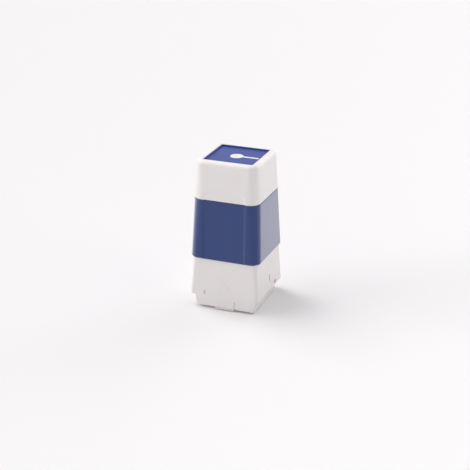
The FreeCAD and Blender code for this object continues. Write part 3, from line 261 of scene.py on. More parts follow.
@dataclass(frozen=True)
class Steel(Finish):
    """Drawn, turned or plated steel: fine rings round the stem's line and a soft mirror.

    Attributes:
        colour: The metal's sRGB colour.
        roughness: Middle roughness.
        ring_mm: Spacing of the tool's rings, drawn wider than real so that they show.
        smudge_mm: Width of the smudges in its polish.
        polished: How far the roughness falls in the smudges' low end.
        dulled: How far it rises in their high end.
    """

    colour: str = "b9bcc0"
    roughness: float = 0.3
    ring_mm: float = 0.12
    smudge_mm: float = 2.5
    polished: float = 0.06
    dulled: float = 0.08

    def make(self) -> bpy.types.Material:
        """Make the steel's material.

        Returns:
            The new material.
        """
        material, tree, coords = self.start()
        rings = add(tree, "ShaderNodeTexWave", {
            "Vector": coords, "Scale": 0.5 / (self.ring_mm * MM), "Distortion": 1.5, "Detail": 1.0,
        }, wave_type="RINGS", rings_direction="Z")
        smudges = add(tree, "ShaderNodeTexNoise", {
            "Vector": coords, "Scale": 1 / (self.smudge_mm * MM), "Detail": 3.0,
        })
        gloss = self.gloss(tree, smudges, self.roughness - self.polished, self.roughness + self.dulled)
        relief = add(tree, "ShaderNodeBump", {
            "Height": rings.outputs["Fac"], "Strength": 0.3, "Distance": Grain.TURNED.value[1] * MM,
        })
        shader = add(tree, "ShaderNodeBsdfPrincipled", {
            "Base Color": linear(self.colour), "Metallic": 1.0, "Roughness": gloss,
            "Normal": relief.outputs["Normal"],
        })
        self.end(tree, shader)
        return material


@dataclass(frozen=True)
class InkedFelt(Finish):
    """Pressed wool felt, soaked with ink: short crossing fibres, dull, darker where it is wet.

    Attributes:
        colour: The inked fibres' sRGB colour.
        wet: The colour of the wettest patches.
        fibre_mm: Width of a fibre, drawn at five times its real width so that it shows.
        relief_mm: How far the fibres stand out.
        soak_mm: Width of the wet patches.
        lays_deg: Directions in which the fibres lie.
        stretch: How densely the noise runs across, along and down the fibres.
    """

    colour: str = "3a4f8c"
    wet: str = "243465"
    fibre_mm: float = 0.12
    relief_mm: float = 0.05
    soak_mm: float = 5.0
    lays_deg: tuple[float, float, float] = (20.0, 75.0, 140.0)
    stretch: tuple[float, float, float] = (1.0, 0.12, 0.5)

    def make(self) -> bpy.types.Material:
        """Make the felt's material.

        Returns:
            The new material.
        """
        material, tree, coords = self.start()
        heights = []
        for turn in self.lays_deg:
            lay = add(tree, "ShaderNodeMapping", {
                "Vector": coords, "Rotation": (0.0, 0.0, math.radians(turn)), "Scale": self.stretch,
            })
            strands = add(tree, "ShaderNodeTexNoise", {
                "Vector": lay.outputs["Vector"], "Scale": 1 / (self.fibre_mm * MM), "Detail": 3.0,
            })
            heights.append(strands.outputs["Fac"])
        pair = add(tree, "ShaderNodeMath", {0: heights[0], 1: heights[1]}, operation="MAXIMUM")
        fibres = add(tree, "ShaderNodeMath", {0: pair.outputs[0], 1: heights[2]}, operation="MAXIMUM")
        soak = add(tree, "ShaderNodeTexNoise", {
            "Vector": coords, "Scale": 1 / (self.soak_mm * MM), "Detail": 2.0,
        })
        colour = add(tree, "ShaderNodeMix", {
            "Factor": soak.outputs["Fac"], "A": linear(self.colour), "B": linear(self.wet),
        }, data_type="RGBA")
        relief = add(tree, "ShaderNodeBump", {
            "Height": fibres.outputs[0], "Strength": 0.9, "Distance": self.relief_mm * MM,
        })
        shader = add(tree, "ShaderNodeBsdfPrincipled", {
            "Base Color": colour.outputs["Result"], "Roughness": 0.92, "Sheen Weight": 0.25,
            "Normal": relief.outputs["Normal"],
        })
        self.end(tree, shader)
        return material


@dataclass(frozen=True)
class PorousRubber(Finish):
    """Microporous die rubber that holds ink: dull, with open pores and a stain from the ink.

    Attributes:
        colour: The rubber's sRGB colour.
        stain: The colour where ink has come through.
        pore_mm: Pore size, drawn at about four times the real one so that it shows.
        relief_mm: Depth of the pores.
        seep_mm: Width of the stain's patches.
    """

    colour: str = "8f8a92"
    stain: str = "3d4f86"
    pore_mm: float = 0.08
    relief_mm: float = 0.02
    seep_mm: float = 3.0

    def make(self) -> bpy.types.Material:
        """Make the rubber's material.

        Returns:
            The new material.
        """
        material, tree, coords = self.start()
        pores = add(tree, "ShaderNodeTexVoronoi", {"Vector": coords, "Scale": 1 / (self.pore_mm * MM)})
        seep = add(tree, "ShaderNodeTexNoise", {
            "Vector": coords, "Scale": 1 / (self.seep_mm * MM), "Detail": 4.0,
        })
        reach = add(tree, "ShaderNodeMapRange", {
            "Value": seep.outputs["Fac"], "From Min": 0.35, "From Max": 0.6,
        })
        colour = add(tree, "ShaderNodeMix", {
            "Factor": reach.outputs["Result"], "A": linear(self.colour), "B": linear(self.stain),
        }, data_type="RGBA")
        relief = add(tree, "ShaderNodeBump", {
            "Height": pores.outputs["Distance"], "Strength": 0.7, "Distance": self.relief_mm * MM,
        })
        shader = add(tree, "ShaderNodeBsdfPrincipled", {
            "Base Color": colour.outputs["Result"], "Roughness": 0.78, "Normal": relief.outputs["Normal"],
        })
        self.end(tree, shader)
        return material


# Spark-eroded white ABS: dull satin, a warm off-white
WHITE_SHELL = MouldedPlastic("white_abs_shell", colour="e5e1e0", shade="e1dddc", roughness=0.42, depth=0.05)
# The same white in polypropylene, a little glossier where the cap's mould was polished
WHITE_CAP = MouldedPlastic(
    "white_polypropylene_cap", colour="e5e2e2", shade="e0dddd", roughness=0.36, grain=Grain.POLISHED,
    depth=0.08,
)
# Dark blue ABS with a medium spark grain; its colour is mixed towards a pale painted sheen at a grazing view
BLUE_SLEEVE = MouldedPlastic(
    "blue_abs_sleeve", colour="3f4e7d", shade="3c4a77", roughness=0.36, grain=Grain.SPARK_MEDIUM,
    painted_sheen=1.36, mirror=0.1,
)
# Blue tray in the handle's recess, matt where the label lies
BLUE_PLATE = MouldedPlastic("blue_abs_plate", colour="384a8e", shade="344587", roughness=0.5, mirror=0.25)
# Undyed acetal, which slides well: milky, with a soft gloss
NATURAL_ACETAL = MouldedPlastic("natural_acetal", colour="e4e0d4", shade="dcd8cb", roughness=0.33, depth=0.1)
# Mid-grey ABS of the die holder
GREY_HOLDER = MouldedPlastic("grey_abs_holder", colour="8c8f94", shade="85888d", roughness=0.45)
# Dull black rubber, moulded with the same grain as the plastics
BLACK_RUBBER = MouldedPlastic(
    "black_rubber_plug", colour="232426", shade="1d1e20", roughness=0.62, grain=Grain.SPARK_MEDIUM
)
# Bright zinc plating on mild steel
ZINC_STEEL = Steel("zinc_plated_steel", colour="bfc1bd", roughness=0.32)
# Drawn spring wire and stamped spring strip
SPRING_STEEL = Steel("spring_steel", colour="a9acb1", roughness=0.26)
# Wool felt, full of blue ink
INKED_FELT = InkedFelt("inked_felt")
# Porous rubber, stained by the ink that it lets through
DIE_RUBBER = PorousRubber("microporous_rubber")


# Mesh work


def link(name: str, mesh: bpy.types.Mesh) -> bpy.types.Object:
    """Put a mesh in the scene as an object that sits at the origin."""
    piece = bpy.data.objects.new(name, mesh)
    bpy.context.scene.collection.objects.link(piece)
    return piece


def from_bmesh(name: str, shape: bmesh.types.BMesh) -> bpy.types.Object:
    """Turn finished mesh work into an object and free it.

    Args:
        name: The object's name.
        shape: The mesh work, in metres.

    Returns:
        The new object.
    """
    mesh = bpy.data.meshes.new(name)
    shape.to_mesh(mesh)
    shape.free()
    return link(name, mesh)


def flatten(piece: bpy.types.Object) -> None:
    """Bake a piece's modifiers into its mesh and clear them."""
    graph = bpy.context.evaluated_depsgraph_get()
    baked = bpy.data.meshes.new_from_object(piece.evaluated_get(graph))
    baked.name = piece.name
    piece.modifiers.clear()
    piece.data = baked


def smooth(piece: bpy.types.Object, crease_deg: float = 34.0) -> None:
    """Shade a piece smooth, with sharp edges where its faces turn by more than an angle."""
    piece.data.shade_smooth()
    piece.data.set_sharp_from_angle(angle=math.radians(crease_deg))


def dress(piece: bpy.types.Object, finish: Finish) -> None:
    """Give a whole piece one finish."""
    piece.data.materials.clear()
    piece.data.materials.append(finish.material())


def dress_node(node: str, finish: Finish) -> None:
    """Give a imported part's own object a finish, by its material slots."""
    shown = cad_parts[node]
    if not shown.material_slots:
        shown.data.materials.append(finish.material())
    for slot in shown.material_slots:
        slot.material = finish.material()
    log.info("dressed %s", node)


def settle(piece: bpy.types.Object, rider: Rider, node: str) -> None:
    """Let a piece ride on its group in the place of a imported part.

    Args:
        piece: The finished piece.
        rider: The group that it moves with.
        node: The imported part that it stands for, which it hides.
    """
    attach(piece, rider.value)
    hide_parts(node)
    log.info("%s stands for %s, %d faces", piece.name, node, len(piece.data.polygons))


def softened(node: str, name: str, radius_mm: float, steps: int = 3) -> bpy.types.Object:
    """Copy a packed shell with its sharp edges rounded as a mould leaves them.

    Args:
        node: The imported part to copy.
        name: The new piece's name.
        radius_mm: Width of the rounding.
        steps: Faces across each rounded edge.

    Returns:
        The new piece, not yet riding on anything.
    """
    weld = 2e-7
    same_plane_deg = 0.2
    crease_deg = 28.0
    shape = bmesh.new()
    shape.from_mesh(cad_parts[node].data)
    bmesh.ops.remove_doubles(shape, verts=shape.verts, dist=weld)
    bmesh.ops.dissolve_limit(
        shape, angle_limit=math.radians(same_plane_deg), verts=shape.verts, edges=shape.edges
    )
    piece = from_bmesh(name, shape)
    edge = piece.modifiers.new("edge", "BEVEL")
    edge.width = radius_mm * MM
    edge.segments = steps
    edge.limit_method = "ANGLE"
    edge.angle_limit = math.radians(crease_deg)
    edge.use_clamp_overlap = False
    edge.miter_outer = "MITER_ARC"
    even = piece.modifiers.new("even", "WEIGHTED_NORMAL")
    even.weight = 100
    piece.data.shade_smooth()
    flatten(piece)
    return piece


def helix_tree() -> bpy.types.NodeTree:
    """Build the geometry tree that winds a wire along a helix with closed end turns.

    The centre line rises by the closed pitch in the end turns and by what is left of the height in
    the others. A round or three-sided section is swept along it.

    Returns:
        The node tree, with its sizes as named inputs.
    """
    tree = bpy.data.node_groups.new("wound_helix", "GeometryNodeTree")
    sockets = tree.interface
    for name, kind in (
        ("Radius", "NodeSocketFloat"), ("Section", "NodeSocketFloat"), ("Base", "NodeSocketFloat"),
        ("Height", "NodeSocketFloat"), ("Open turns", "NodeSocketFloat"), ("End turns", "NodeSocketFloat"),
        ("End pitch", "NodeSocketFloat"), ("Points", "NodeSocketInt"), ("Sides", "NodeSocketInt"),
        ("Finish", "NodeSocketMaterial"),
    ):
        sockets.new_socket(name, in_out="INPUT", socket_type=kind)
    sockets.new_socket("Geometry", in_out="OUTPUT", socket_type="NodeSocketGeometry")
    given = add(tree, "NodeGroupInput").outputs

    def sum_up(operation: str, first: Any, second: Any) -> bpy.types.NodeSocket:
        """Add one step of arithmetic and return its result."""
        return add(tree, "ShaderNodeMath", {0: first, 1: second}, operation=operation).outputs[0]

    ends = sum_up("MULTIPLY", given["End turns"], 2.0)
    turns = sum_up("ADD", given["Open turns"], ends)
    along = add(tree, "GeometryNodeSplineParameter").outputs["Factor"]
    wound = sum_up("MULTIPLY", along, turns)
    low = sum_up("MINIMUM", wound, given["End turns"])
    past_low = sum_up("MAXIMUM", sum_up("SUBTRACT", wound, given["End turns"]), 0.0)
    middle = sum_up("MINIMUM", past_low, given["Open turns"])
    high = sum_up("SUBTRACT", past_low, middle)
    closed_height = sum_up("MULTIPLY", ends, given["End pitch"])
    open_pitch = sum_up("DIVIDE", sum_up("SUBTRACT", given["Height"], closed_height), given["Open turns"])
    closed_rise = sum_up("MULTIPLY", sum_up("ADD", low, high), given["End pitch"])
    open_rise = sum_up("MULTIPLY", middle, open_pitch)
    level = sum_up("ADD", sum_up("ADD", closed_rise, open_rise), given["Base"])
    angle = sum_up("MULTIPLY", wound, 2 * math.pi)
    spot = add(tree, "ShaderNodeCombineXYZ", {
        "X": sum_up("MULTIPLY", given["Radius"], sum_up("COSINE", angle, 0.0)),
        "Y": sum_up("MULTIPLY", given["Radius"], sum_up("SINE", angle, 0.0)),
        "Z": level,
    })
    line = add(tree, "GeometryNodeCurvePrimitiveLine")
    spaced = add(tree, "GeometryNodeResampleCurve", {
        "Curve": line.outputs["Curve"], "Count": given["Points"],
    })
    bent = add(tree, "GeometryNodeSetPosition", {
        "Geometry": spaced.outputs["Curve"], "Position": spot.outputs["Vector"],
    })
    section = add(tree, "GeometryNodeCurvePrimitiveCircle", {
        "Resolution": given["Sides"], "Radius": given["Section"],
    })
    swept = add(tree, "GeometryNodeCurveToMesh", {
        "Curve": bent.outputs["Geometry"], "Profile Curve": section.outputs["Curve"], "Fill Caps": True,
    })
    real = add(tree, "GeometryNodeRealizeInstances", {"Geometry": swept.outputs["Mesh"]})
    finished = add(tree, "GeometryNodeSetMaterial", {
        "Geometry": real.outputs["Geometry"], "Material": given["Finish"],
    })
    add(tree, "NodeGroupOutput", {"Geometry": finished.outputs["Geometry"]})
    return tree


def grown(name: str, tree: bpy.types.NodeTree, sizes: dict[str, Any]) -> bpy.types.Object:
    """Run a geometry tree on an empty mesh and keep the plain result.

    Args:
        name: The new piece's name.
        tree: The geometry tree.
        sizes: Value of each named input.

    Returns:
        The piece, without its modifier.
    """
    piece = link(name, bpy.data.meshes.new(name))
    maker = piece.modifiers.new("maker", "NODES")
    maker.node_group = tree
    for item in tree.interface.items_tree:
        if item.name in sizes:
            maker[item.identifier] = sizes[item.name]
    flatten(piece)
    return piece


# Sub-assemblies


@dataclass
class HandleUnit:
    """The white handle cover with its index mark, and the blue label tray in its recess.

    Attributes:
        cover_edge: Rounding of the cover's moulded edges.
        plate_edge: Rounding of the tray's thin walls.
    """

    cover_edge: float = 0.16
    plate_edge: float = 0.06

    def build(self) -> None:
        """Build and dress the handle's two pieces."""
        cover = softened("handle_cover", "handle_shell", self.cover_edge)
        dress(cover, WHITE_SHELL)
        settle(cover, Rider.GRIP, "handle_cover")
        plate = softened("label_plate", "label_tray", self.plate_edge, steps=2)
        dress(plate, BLUE_PLATE)
        settle(plate, Rider.GRIP, "label_plate")


@dataclass
class GripSleeve:
    """The dark blue sleeve that carries the finger panels.

    Attributes:
        edge: Rounding of its moulded edges.
    """

    edge: float = 0.11

    def build(self) -> None:
        """Build and dress the sleeve and the core that holds it."""
        sleeve = softened("grip_sleeve", "finger_sleeve", self.edge)
        dress(sleeve, BLUE_SLEEVE)
        settle(sleeve, Rider.GRIP, "grip_sleeve")
        dress_node("grip_core", NATURAL_ACETAL)


@dataclass
class SkirtShell:
    """The white skirt that stands round the die.

    Attributes:
        edge: Rounding of its moulded edges.
    """

    edge: float = 0.03

    def build(self) -> None:
        """Build and dress the skirt and its bush."""
        shell = softened("skirt", "skirt_shell", self.edge)
        dress(shell, WHITE_SHELL)
        settle(shell, Rider.SKIRT, "skirt")
        dress_node("stem_bush", NATURAL_ACETAL)


@dataclass
class ProtectiveCap:
    """The tray-shaped cap under the skirt, with its two pull lips and two side wings.

    Attributes:
        edge: Rounding of its moulded edges.
    """

    edge: float = 0.03

    def build(self) -> None:
        """Build and dress the cap."""
        tray = softened("protective_cap", "cap_tray", self.edge)
        dress(tray, WHITE_CAP)
        settle(tray, Rider.CAP, "protective_cap")


@dataclass
class PressMechanism:
    """The stem with its screw and clip, and the spring round it.

    Attributes:
        wire: Diameter of the spring's wire.
        coil: Mean diameter of its coils.
        open_turns: Working turns of the spring.
        end_turns: Closed turns at each end.
        seat_level: Top of the washer that the spring stands on.
        roof_level: Underside of the web that it pushes on.
        stroke: Travel of the grip; not used.
        end_gap: Play at each end of the spring.
    """

    wire: float = 0.8
    coil: float = 9.6
    open_turns: float = 4.0
    end_turns: float = 1.0
    seat_level: float = 28.7
    roof_level: float = 41.5
    stroke: float = 4.0
    end_gap: float = 0.05

    def spring(self, winder: bpy.types.NodeTree) -> bpy.types.Object:
        """Wind the return spring with closed ends.

        Args:
            winder: The tree that winds a wire.

        Returns:
            The spring, not yet riding on anything.
        """
        low = self.seat_level + self.end_gap + self.wire / 2
        high = self.roof_level - self.end_gap - self.wire / 2
        spring = grown("spring_coil", winder, {
            "Radius": self.coil / 2 * MM, "Section": self.wire / 2 * MM, "Base": low * MM,
            "Height": (high - low) * MM, "Open turns": self.open_turns, "End turns": self.end_turns,
            "End pitch": (self.wire + self.end_gap) * MM, "Points": 420, "Sides": 16,
            "Finish": SPRING_STEEL.material(),
        })
        smooth(spring)
        return spring

    def build(self, winder: bpy.types.NodeTree) -> None:
        """Build and dress the mechanism.

        Args:
            winder: The tree that winds a wire.
        """
        spring = self.spring(winder)
        settle(spring, Rider.SKIRT, "return_spring")
        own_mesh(spring)
        screw = ScrewMaker().build(winder)
        settle(screw, Rider.GRIP, "stem_screw")
        for node, finish in (
            ("stem", NATURAL_ACETAL), ("screw_washer", ZINC_STEEL), ("stop_clip", SPRING_STEEL),
            ("spring_seat", ZINC_STEEL),
        ):
            dress_node(node, finish)


@dataclass
class ScrewMaker:
    """The self-tapping screw that pulls the stem against the core's web.

    Attributes:
        shank: Diameter under the thread.
        tip_radius: Radius of the blunt tip.
        tip_round: Height of its rounding.
        tip_length: Length over which the tip widens to the shank.
        head: Diameter of the head.
        head_height: Height of the head.
        head_corner: Bevel of the head's lower edge.
        dome: How far the head's edge drops.
        dome_steps: Faces along the dome's rounding.
        pitch: Thread pitch.
        thread_radius: Size of the thread's three-sided section.
        thread_start: Height of the thread's start above the tip.
        thread_gap: Plain shank left under the head.
        cross: Width and depth of the cross recess's arms.
        ring: Points round the screw.
    """

    shank: float = 2.1
    tip_radius: float = 0.35
    tip_round: float = 0.15
    tip_length: float = 1.2
    head: float = 4.6
    head_height: float = 1.8
    head_corner: float = 0.08
    dome: float = 0.6
    dome_steps: int = 6
    pitch: float = 0.9
    thread_radius: float = 0.24
    thread_start: float = 1.1
    thread_gap: float = 0.5
    cross: tuple[float, float, float] = (2.6, 0.5, 0.9)
    ring: int = 40

    def build(self, winder: bpy.types.NodeTree) -> bpy.types.Object:
        """Turn the screw, cut its cross and wind its thread.

        Args:
            winder: The tree that winds a wire.

        Returns:
            The screw, not yet riding on anything.
        """
        low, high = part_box("stem_screw")
        tip, top = low.z / MM, high.z / MM
        seat = top - self.head_height
        outline = [
            (0.0, tip), (self.tip_radius, tip + self.tip_round), (self.shank / 2, tip + self.tip_length),
            (self.shank / 2, seat), (self.head / 2 - self.head_corner, seat),
            (self.head / 2, seat + self.head_corner),
        ]
        for step in range(self.dome_steps + 1):
            turn = math.pi / 2 * step / self.dome_steps
            outline.append((
                self.head / 2 - self.dome * (1 - math.cos(turn)),
                top - self.dome + self.dome * math.sin(turn),
            ))
        outline.append((0.0, top))
        screw = from_bmesh("cross_screw", lathe(outline, self.ring))
        cut_cross(screw, self.cross, top)
        thread_low = tip + self.thread_start
        thread_high = seat - self.thread_gap
        thread = grown("thread", winder, {
            "Radius": self.shank / 2 * MM, "Section": self.thread_radius * MM, "Base": thread_low * MM,
            "Height": (thread_high - thread_low) * MM,
            "Open turns": (thread_high - thread_low) / self.pitch,
            "End turns": 0.0, "End pitch": 0.0, "Points": 240, "Sides": 3, "Finish": ZINC_STEEL.material(),
        })
        joined = bmesh.new()
        joined.from_mesh(screw.data)
        joined.from_mesh(thread.data)
        joined.to_mesh(screw.data)
        joined.free()
        bpy.data.objects.remove(thread)
        dress(screw, ZINC_STEEL)
        smooth(screw)
        return screw


def lathe(outline: list[tuple[float, float]], ring: int) -> bmesh.types.BMesh:
    """Turn half a section about the upright axis.

    Args:
        outline: Radius and level of each point in millimetres, from the bottom of the axis to its top.
        ring: Points round the axis.

    Returns:
        The closed shape in metres.
    """
    shape = bmesh.new()
    rings: list[list[bmesh.types.BMVert]] = []
    for radius, level in outline:
        count = ring if radius > 0 else 1
        rings.append([
            shape.verts.new((
                radius * MM * math.cos(2 * math.pi * i / ring),
                radius * MM * math.sin(2 * math.pi * i / ring),
                level * MM,
            ))
            for i in range(count)
        ])
    for low, high in zip(rings, rings[1:]):
        for i in range(ring):
            j = (i + 1) % ring
            corners = [low[i % len(low)], low[j % len(low)], high[j % len(high)], high[i % len(high)]]
            shape.faces.new(list(dict.fromkeys(corners)))
    return shape


def carve(piece: bpy.types.Object, tool: bpy.types.Object) -> None:
    """Cut a tool's shape out of a piece and remove the tool."""
    cut = piece.modifiers.new("cut", "BOOLEAN")
    cut.object = tool
    cut.operation = "DIFFERENCE"
    cut.solver = "EXACT"
    cut.use_self = True
    flatten(piece)
    bpy.data.objects.remove(tool)


def cut_cross(screw: bpy.types.Object, cross: tuple[float, float, float], top: float) -> None:
    """Cut a tapering cross recess into a screw's head.

    Args:
        screw: The turned screw.
        cross: Length, width and depth of the arms.
        top: Level of the head's top.
    """
    length, width, depth = cross
    taper = 0.45
    shape = bmesh.new()
    for turned in (False, True):
        corners = []
        for level, share in ((top - depth, taper), (top + depth, 2 - taper)):
            for x, y in ((-1, -1), (1, -1), (1, 1), (-1, 1)):
                across = (x * length / 2 * share, y * width / 2)
                spot = across[::-1] if turned else across
                corners.append(shape.verts.new((spot[0] * MM, spot[1] * MM, level * MM)))
        for face in ((3, 2, 1, 0), (4, 5, 6, 7), (0, 1, 5, 4), (1, 2, 6, 5), (2, 3, 7, 6), (3, 0, 4, 7)):
            shape.faces.new([corners[i] for i in face])
    bmesh.ops.recalc_face_normals(shape, faces=shape.faces)
    carve(screw, from_bmesh("cross_tool", shape))


@dataclass
class DieUnit:
    """The printing unit: holder with its plugs, ink felt, die and clip-on frame.

    Attributes:
        felt_step: Spacing of the felt's points.
        felt_rough: How far the felt's cut faces wander inwards.
        felt_wave: Width of that unevenness.
        felt_round: Distance from an edge at which its wear begins.
        felt_wear: Depth of the wear, as a share of that distance.
        felt_crease_deg: Angle past which the felt's shading breaks.
        die_edge: Rounding of the die's edges.
        border: Width of the plain border round the die's field.
        relief: How far the field lies behind the border.
        level_error: How far apart in metres two points may be and still share a level.
    """

    felt_step: float = 0.35
    felt_rough: float = 0.08
    felt_wave: float = 0.9
    felt_round: float = 0.25
    felt_wear: float = 0.35
    felt_crease_deg: float = 60.0
    die_edge: float = 0.08
    border: float = 1.25
    relief: float = 0.35
    level_error: float = 1e-6

    def felt(self) -> bpy.types.Object:
        """Build the felt block, its faces slightly uneven and its edges worn round.

        Returns:
            The felt, not yet riding on anything.
        """
        low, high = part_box("ink_pad")
        size = high - low
        centre = (low + high) / 2
        shape = bmesh.new()
        bmesh.ops.create_cube(
            shape, size=1.0, matrix=Matrix.Translation(centre) @ Matrix.Diagonal((*size, 1))
        )
        step = self.felt_step * MM
        flat = [e for e in shape.edges if abs(e.verts[0].co.z - e.verts[1].co.z) < size.z / 2]
        bmesh.ops.subdivide_edges(shape, edges=flat, cuts=int(max(size) / step), use_grid_fill=True)
        upright = [e for e in shape.edges if abs(e.verts[0].co.z - e.verts[1].co.z) > size.z / 2]
        bmesh.ops.subdivide_edges(shape, edges=upright, cuts=int(size.z / step), use_grid_fill=True)
        reach = self.felt_round * MM
        for vert in shape.verts:
            depth = [min(vert.co[i] - low[i], high[i] - vert.co[i]) for i in range(3)]
            near = sorted(depth)[1]
            wear = max(0.0, 1 - near / reach) * self.felt_wear * reach
            wander = (noise.noise(vert.co / (self.felt_wave * MM)) + 1) / 2 * self.felt_rough * MM
            inward = (centre - vert.co).normalized()
            vert.co += inward * (wear + wander)
        bmesh.ops.recalc_face_normals(shape, faces=shape.faces)
        felt = from_bmesh("ink_felt", shape)
        smooth(felt, self.felt_crease_deg)
        return felt

    def die(self) -> bpy.types.Object:
        """Build the porous die with a bare field inside a plain border.

        Returns:
            The die, not yet riding on anything.
        """
        die = softened("stamp_die", "printing_die", self.die_edge, steps=2)
        lowest = min(v.co.z for v in die.data.vertices)
        reach = max(v.co.x for v in die.data.vertices if v.co.z < lowest + self.level_error)
        width = 2 * (reach - self.border * MM)
        shape = bmesh.new()
        bmesh.ops.create_cube(shape, size=1.0, matrix=(
            Matrix.Translation((0, 0, lowest)) @ Matrix.Diagonal((width, width, 2 * self.relief * MM, 1))
        ))
        carve(die, from_bmesh("field_tool", shape))
        smooth(die)
        return die

    def build(self) -> None:
        """Build and dress the printing unit."""
        felt = self.felt()
        dress(felt, INKED_FELT)
        settle(felt, Rider.GRIP, "ink_pad")
        die = self.die()
        dress(die, DIE_RUBBER)
        settle(die, Rider.GRIP, "stamp_die")
        for node, finish in (
            ("die_holder", GREY_HOLDER), ("ink_port_plugs", BLACK_RUBBER), ("die_frame", WHITE_SHELL),
        ):
            dress_node(node, finish)


# Stage


@dataclass(frozen=True)
class Lamp:
    """A far, broad lamp.

    Attributes:
        name: The lamp's name.
        azimuth: Where it stands, in degrees from the front towards +X.
        elevation: Its height in degrees.
        spread: Width of its disc in degrees, which softens its shadow.
        strength: Its strength on a face that it meets squarely.
    """

    name: str
    azimuth: float
    elevation: float
    spread: float
    strength: float

    def hang(self) -> None:
        """Hang the lamp in the scene, turned to the stamp."""
        sun = bpy.data.lights.new(self.name, "SUN")
        sun.energy = self.strength
        sun.angle = math.radians(self.spread)
        lamp = bpy.data.objects.new(self.name, sun)
        around, above = math.radians(self.azimuth), math.radians(self.elevation)
        towards = Vector((
            math.sin(around) * math.cos(above), -math.cos(around) * math.cos(above), math.sin(above)
        ))
        lamp.rotation_mode = "QUATERNION"
        lamp.rotation_quaternion = towards.to_track_quat("Z", "Y")
        lamp.location = towards * LAMP_DISTANCE
        bpy.context.scene.collection.objects.link(lamp)


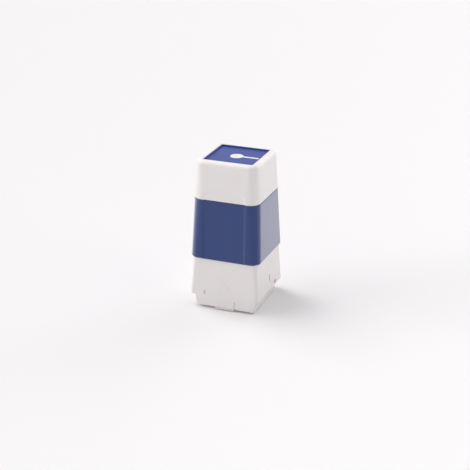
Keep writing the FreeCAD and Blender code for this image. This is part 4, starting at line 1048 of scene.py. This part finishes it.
@dataclass
class Studio:
    """The pale table, the lamps, the white surroundings and the camera.

    Attributes:
        azimuth: Camera's place round the stamp, in degrees from the front towards +X.
        elevation: Camera's height in degrees.
        roll: Camera's roll in degrees.
        distance: From the camera to the aimed point's plane.
        aim_height: Height of the aimed point.
        shift: How far the aimed point lies right of and above the view's centre.
        focal: Focal length on the frame.
        sensor: Side of the square frame.
        pixels: Width of the photograph in pixels; its picture sits half a pixel right and low.
        table: Colour of the table.
        surroundings: Colour of what is seen beyond the table.
        ambient: Strength of the light from all round.
        lamps: The lamps.
    """

    azimuth: float = 21.343
    elevation: float = 22.061
    roll: float = 0.103
    distance: float = 506.297
    aim_height: float = 40.0
    shift: tuple[float, float] = (0.491, 11.728)
    focal: float = 95.141
    sensor: float = 36.0
    pixels: int = 470
    table: str = "f2f0f1"
    surroundings: str = "f8f6f7"
    ambient: float = 0.28
    lamps: list[Lamp] = field(default_factory=lambda: [
        Lamp("low_left", azimuth=-68.7, elevation=15.0, spread=50.0, strength=1.16),
        Lamp("wide_left", azimuth=-68.7, elevation=30.0, spread=90.0, strength=0.4),
        Lamp("left", azimuth=-110.0, elevation=50.0, spread=25.0, strength=0.52),
        Lamp("high_left", azimuth=-110.0, elevation=70.0, spread=20.0, strength=0.7),
        Lamp("left_back", azimuth=-110.0, elevation=35.0, spread=90.0, strength=0.31),
        Lamp("high_front", azimuth=-10.0, elevation=50.0, spread=100.0, strength=0.46),
        Lamp("right", azimuth=115.0, elevation=35.0, spread=90.0, strength=0.8),
        Lamp("low_back", azimuth=160.0, elevation=15.0, spread=50.0, strength=1.08),
    ])

    def camera(self) -> None:
        """Place the camera as the photograph's stood."""
        around, above, rolled = (math.radians(a) for a in (self.azimuth, self.elevation, self.roll))
        forward = Vector((
            -math.sin(around) * math.cos(above), math.cos(around) * math.cos(above), -math.sin(above)
        ))
        level = Vector((math.cos(around), math.sin(around), 0.0))
        upward = level.cross(forward)
        right = math.cos(rolled) * level + math.sin(rolled) * upward
        up = -math.sin(rolled) * level + math.cos(rolled) * upward
        aim = Vector((0, 0, self.aim_height))
        place = aim - self.distance * forward - self.shift[0] * right - self.shift[1] * up
        lens = bpy.data.cameras.new("camera")
        lens.sensor_width = self.sensor
        lens.lens = self.focal
        lens.shift_x = -0.5 / self.pixels
        lens.shift_y = 0.5 / self.pixels
        lens.clip_start = 0.01
        lens.clip_end = 20.0
        camera = bpy.data.objects.new("camera", lens)
        turned = Matrix((right, up, -forward)).transposed()
        camera.matrix_world = Matrix.Translation(place * MM) @ turned.to_4x4()
        bpy.context.scene.collection.objects.link(camera)
        bpy.context.scene.camera = camera

    def world(self) -> None:
        """Fill the surroundings: even light, and a pale colour where rays see them."""
        world = bpy.data.worlds.new("surroundings")
        bpy.context.scene.world = world
        world.use_nodes = True
        tree = world.node_tree
        tree.nodes.clear()
        rays = add(tree, "ShaderNodeLightPath").outputs
        seen = rays["Is Camera Ray"]
        for kind in ("Is Glossy Ray", "Is Transmission Ray"):
            seen = add(tree, "ShaderNodeMath", {0: seen, 1: rays[kind]}, operation="MAXIMUM").outputs[0]
        light = add(tree, "ShaderNodeBackground", {"Color": linear("ffffff"), "Strength": self.ambient})
        shown = add(tree, "ShaderNodeBackground", {"Color": linear(self.surroundings), "Strength": 1.0})
        mixed = add(tree, "ShaderNodeMixShader", {0: seen, 1: light.outputs[0], 2: shown.outputs[0]})
        add(tree, "ShaderNodeOutputWorld", {"Surface": mixed.outputs[0]})

    def floor(self) -> None:
        """Lay the table, a large plain sheet."""
        cells = 12
        half_side = 3.0
        shape = bmesh.new()
        bmesh.ops.create_grid(shape, x_segments=cells, y_segments=cells, size=half_side)
        table = from_bmesh("table", shape)
        material = bpy.data.materials.new("pale_table")
        material.use_nodes = True
        tree = material.node_tree
        tree.nodes.clear()
        diffuse = add(tree, "ShaderNodeBsdfDiffuse", {"Color": linear(self.table), "Roughness": 0.5})
        add(tree, "ShaderNodeOutputMaterial", {"Surface": diffuse.outputs[0]})
        table.data.materials.append(material)

    def build(self) -> None:
        """Set up the whole stage."""
        self.floor()
        self.world()
        for lamp in self.lamps:
            lamp.hang()
        self.camera()
        bpy.context.scene.view_settings.view_transform = "Standard"


def main() -> None:
    """Build the stamp's looks and its stage."""
    logging.basicConfig(level=logging.INFO, format="%(name)s: %(message)s")
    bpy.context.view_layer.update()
    winder = helix_tree()
    builders: list[Callable[[], None]] = [
        HandleUnit().build,
        GripSleeve().build,
        SkirtShell().build,
        ProtectiveCap().build,
        lambda: PressMechanism().build(winder),
        DieUnit().build,
        Studio().build,
    ]
    for build in builders:
        build()


if __name__ == "__main__":
    main()
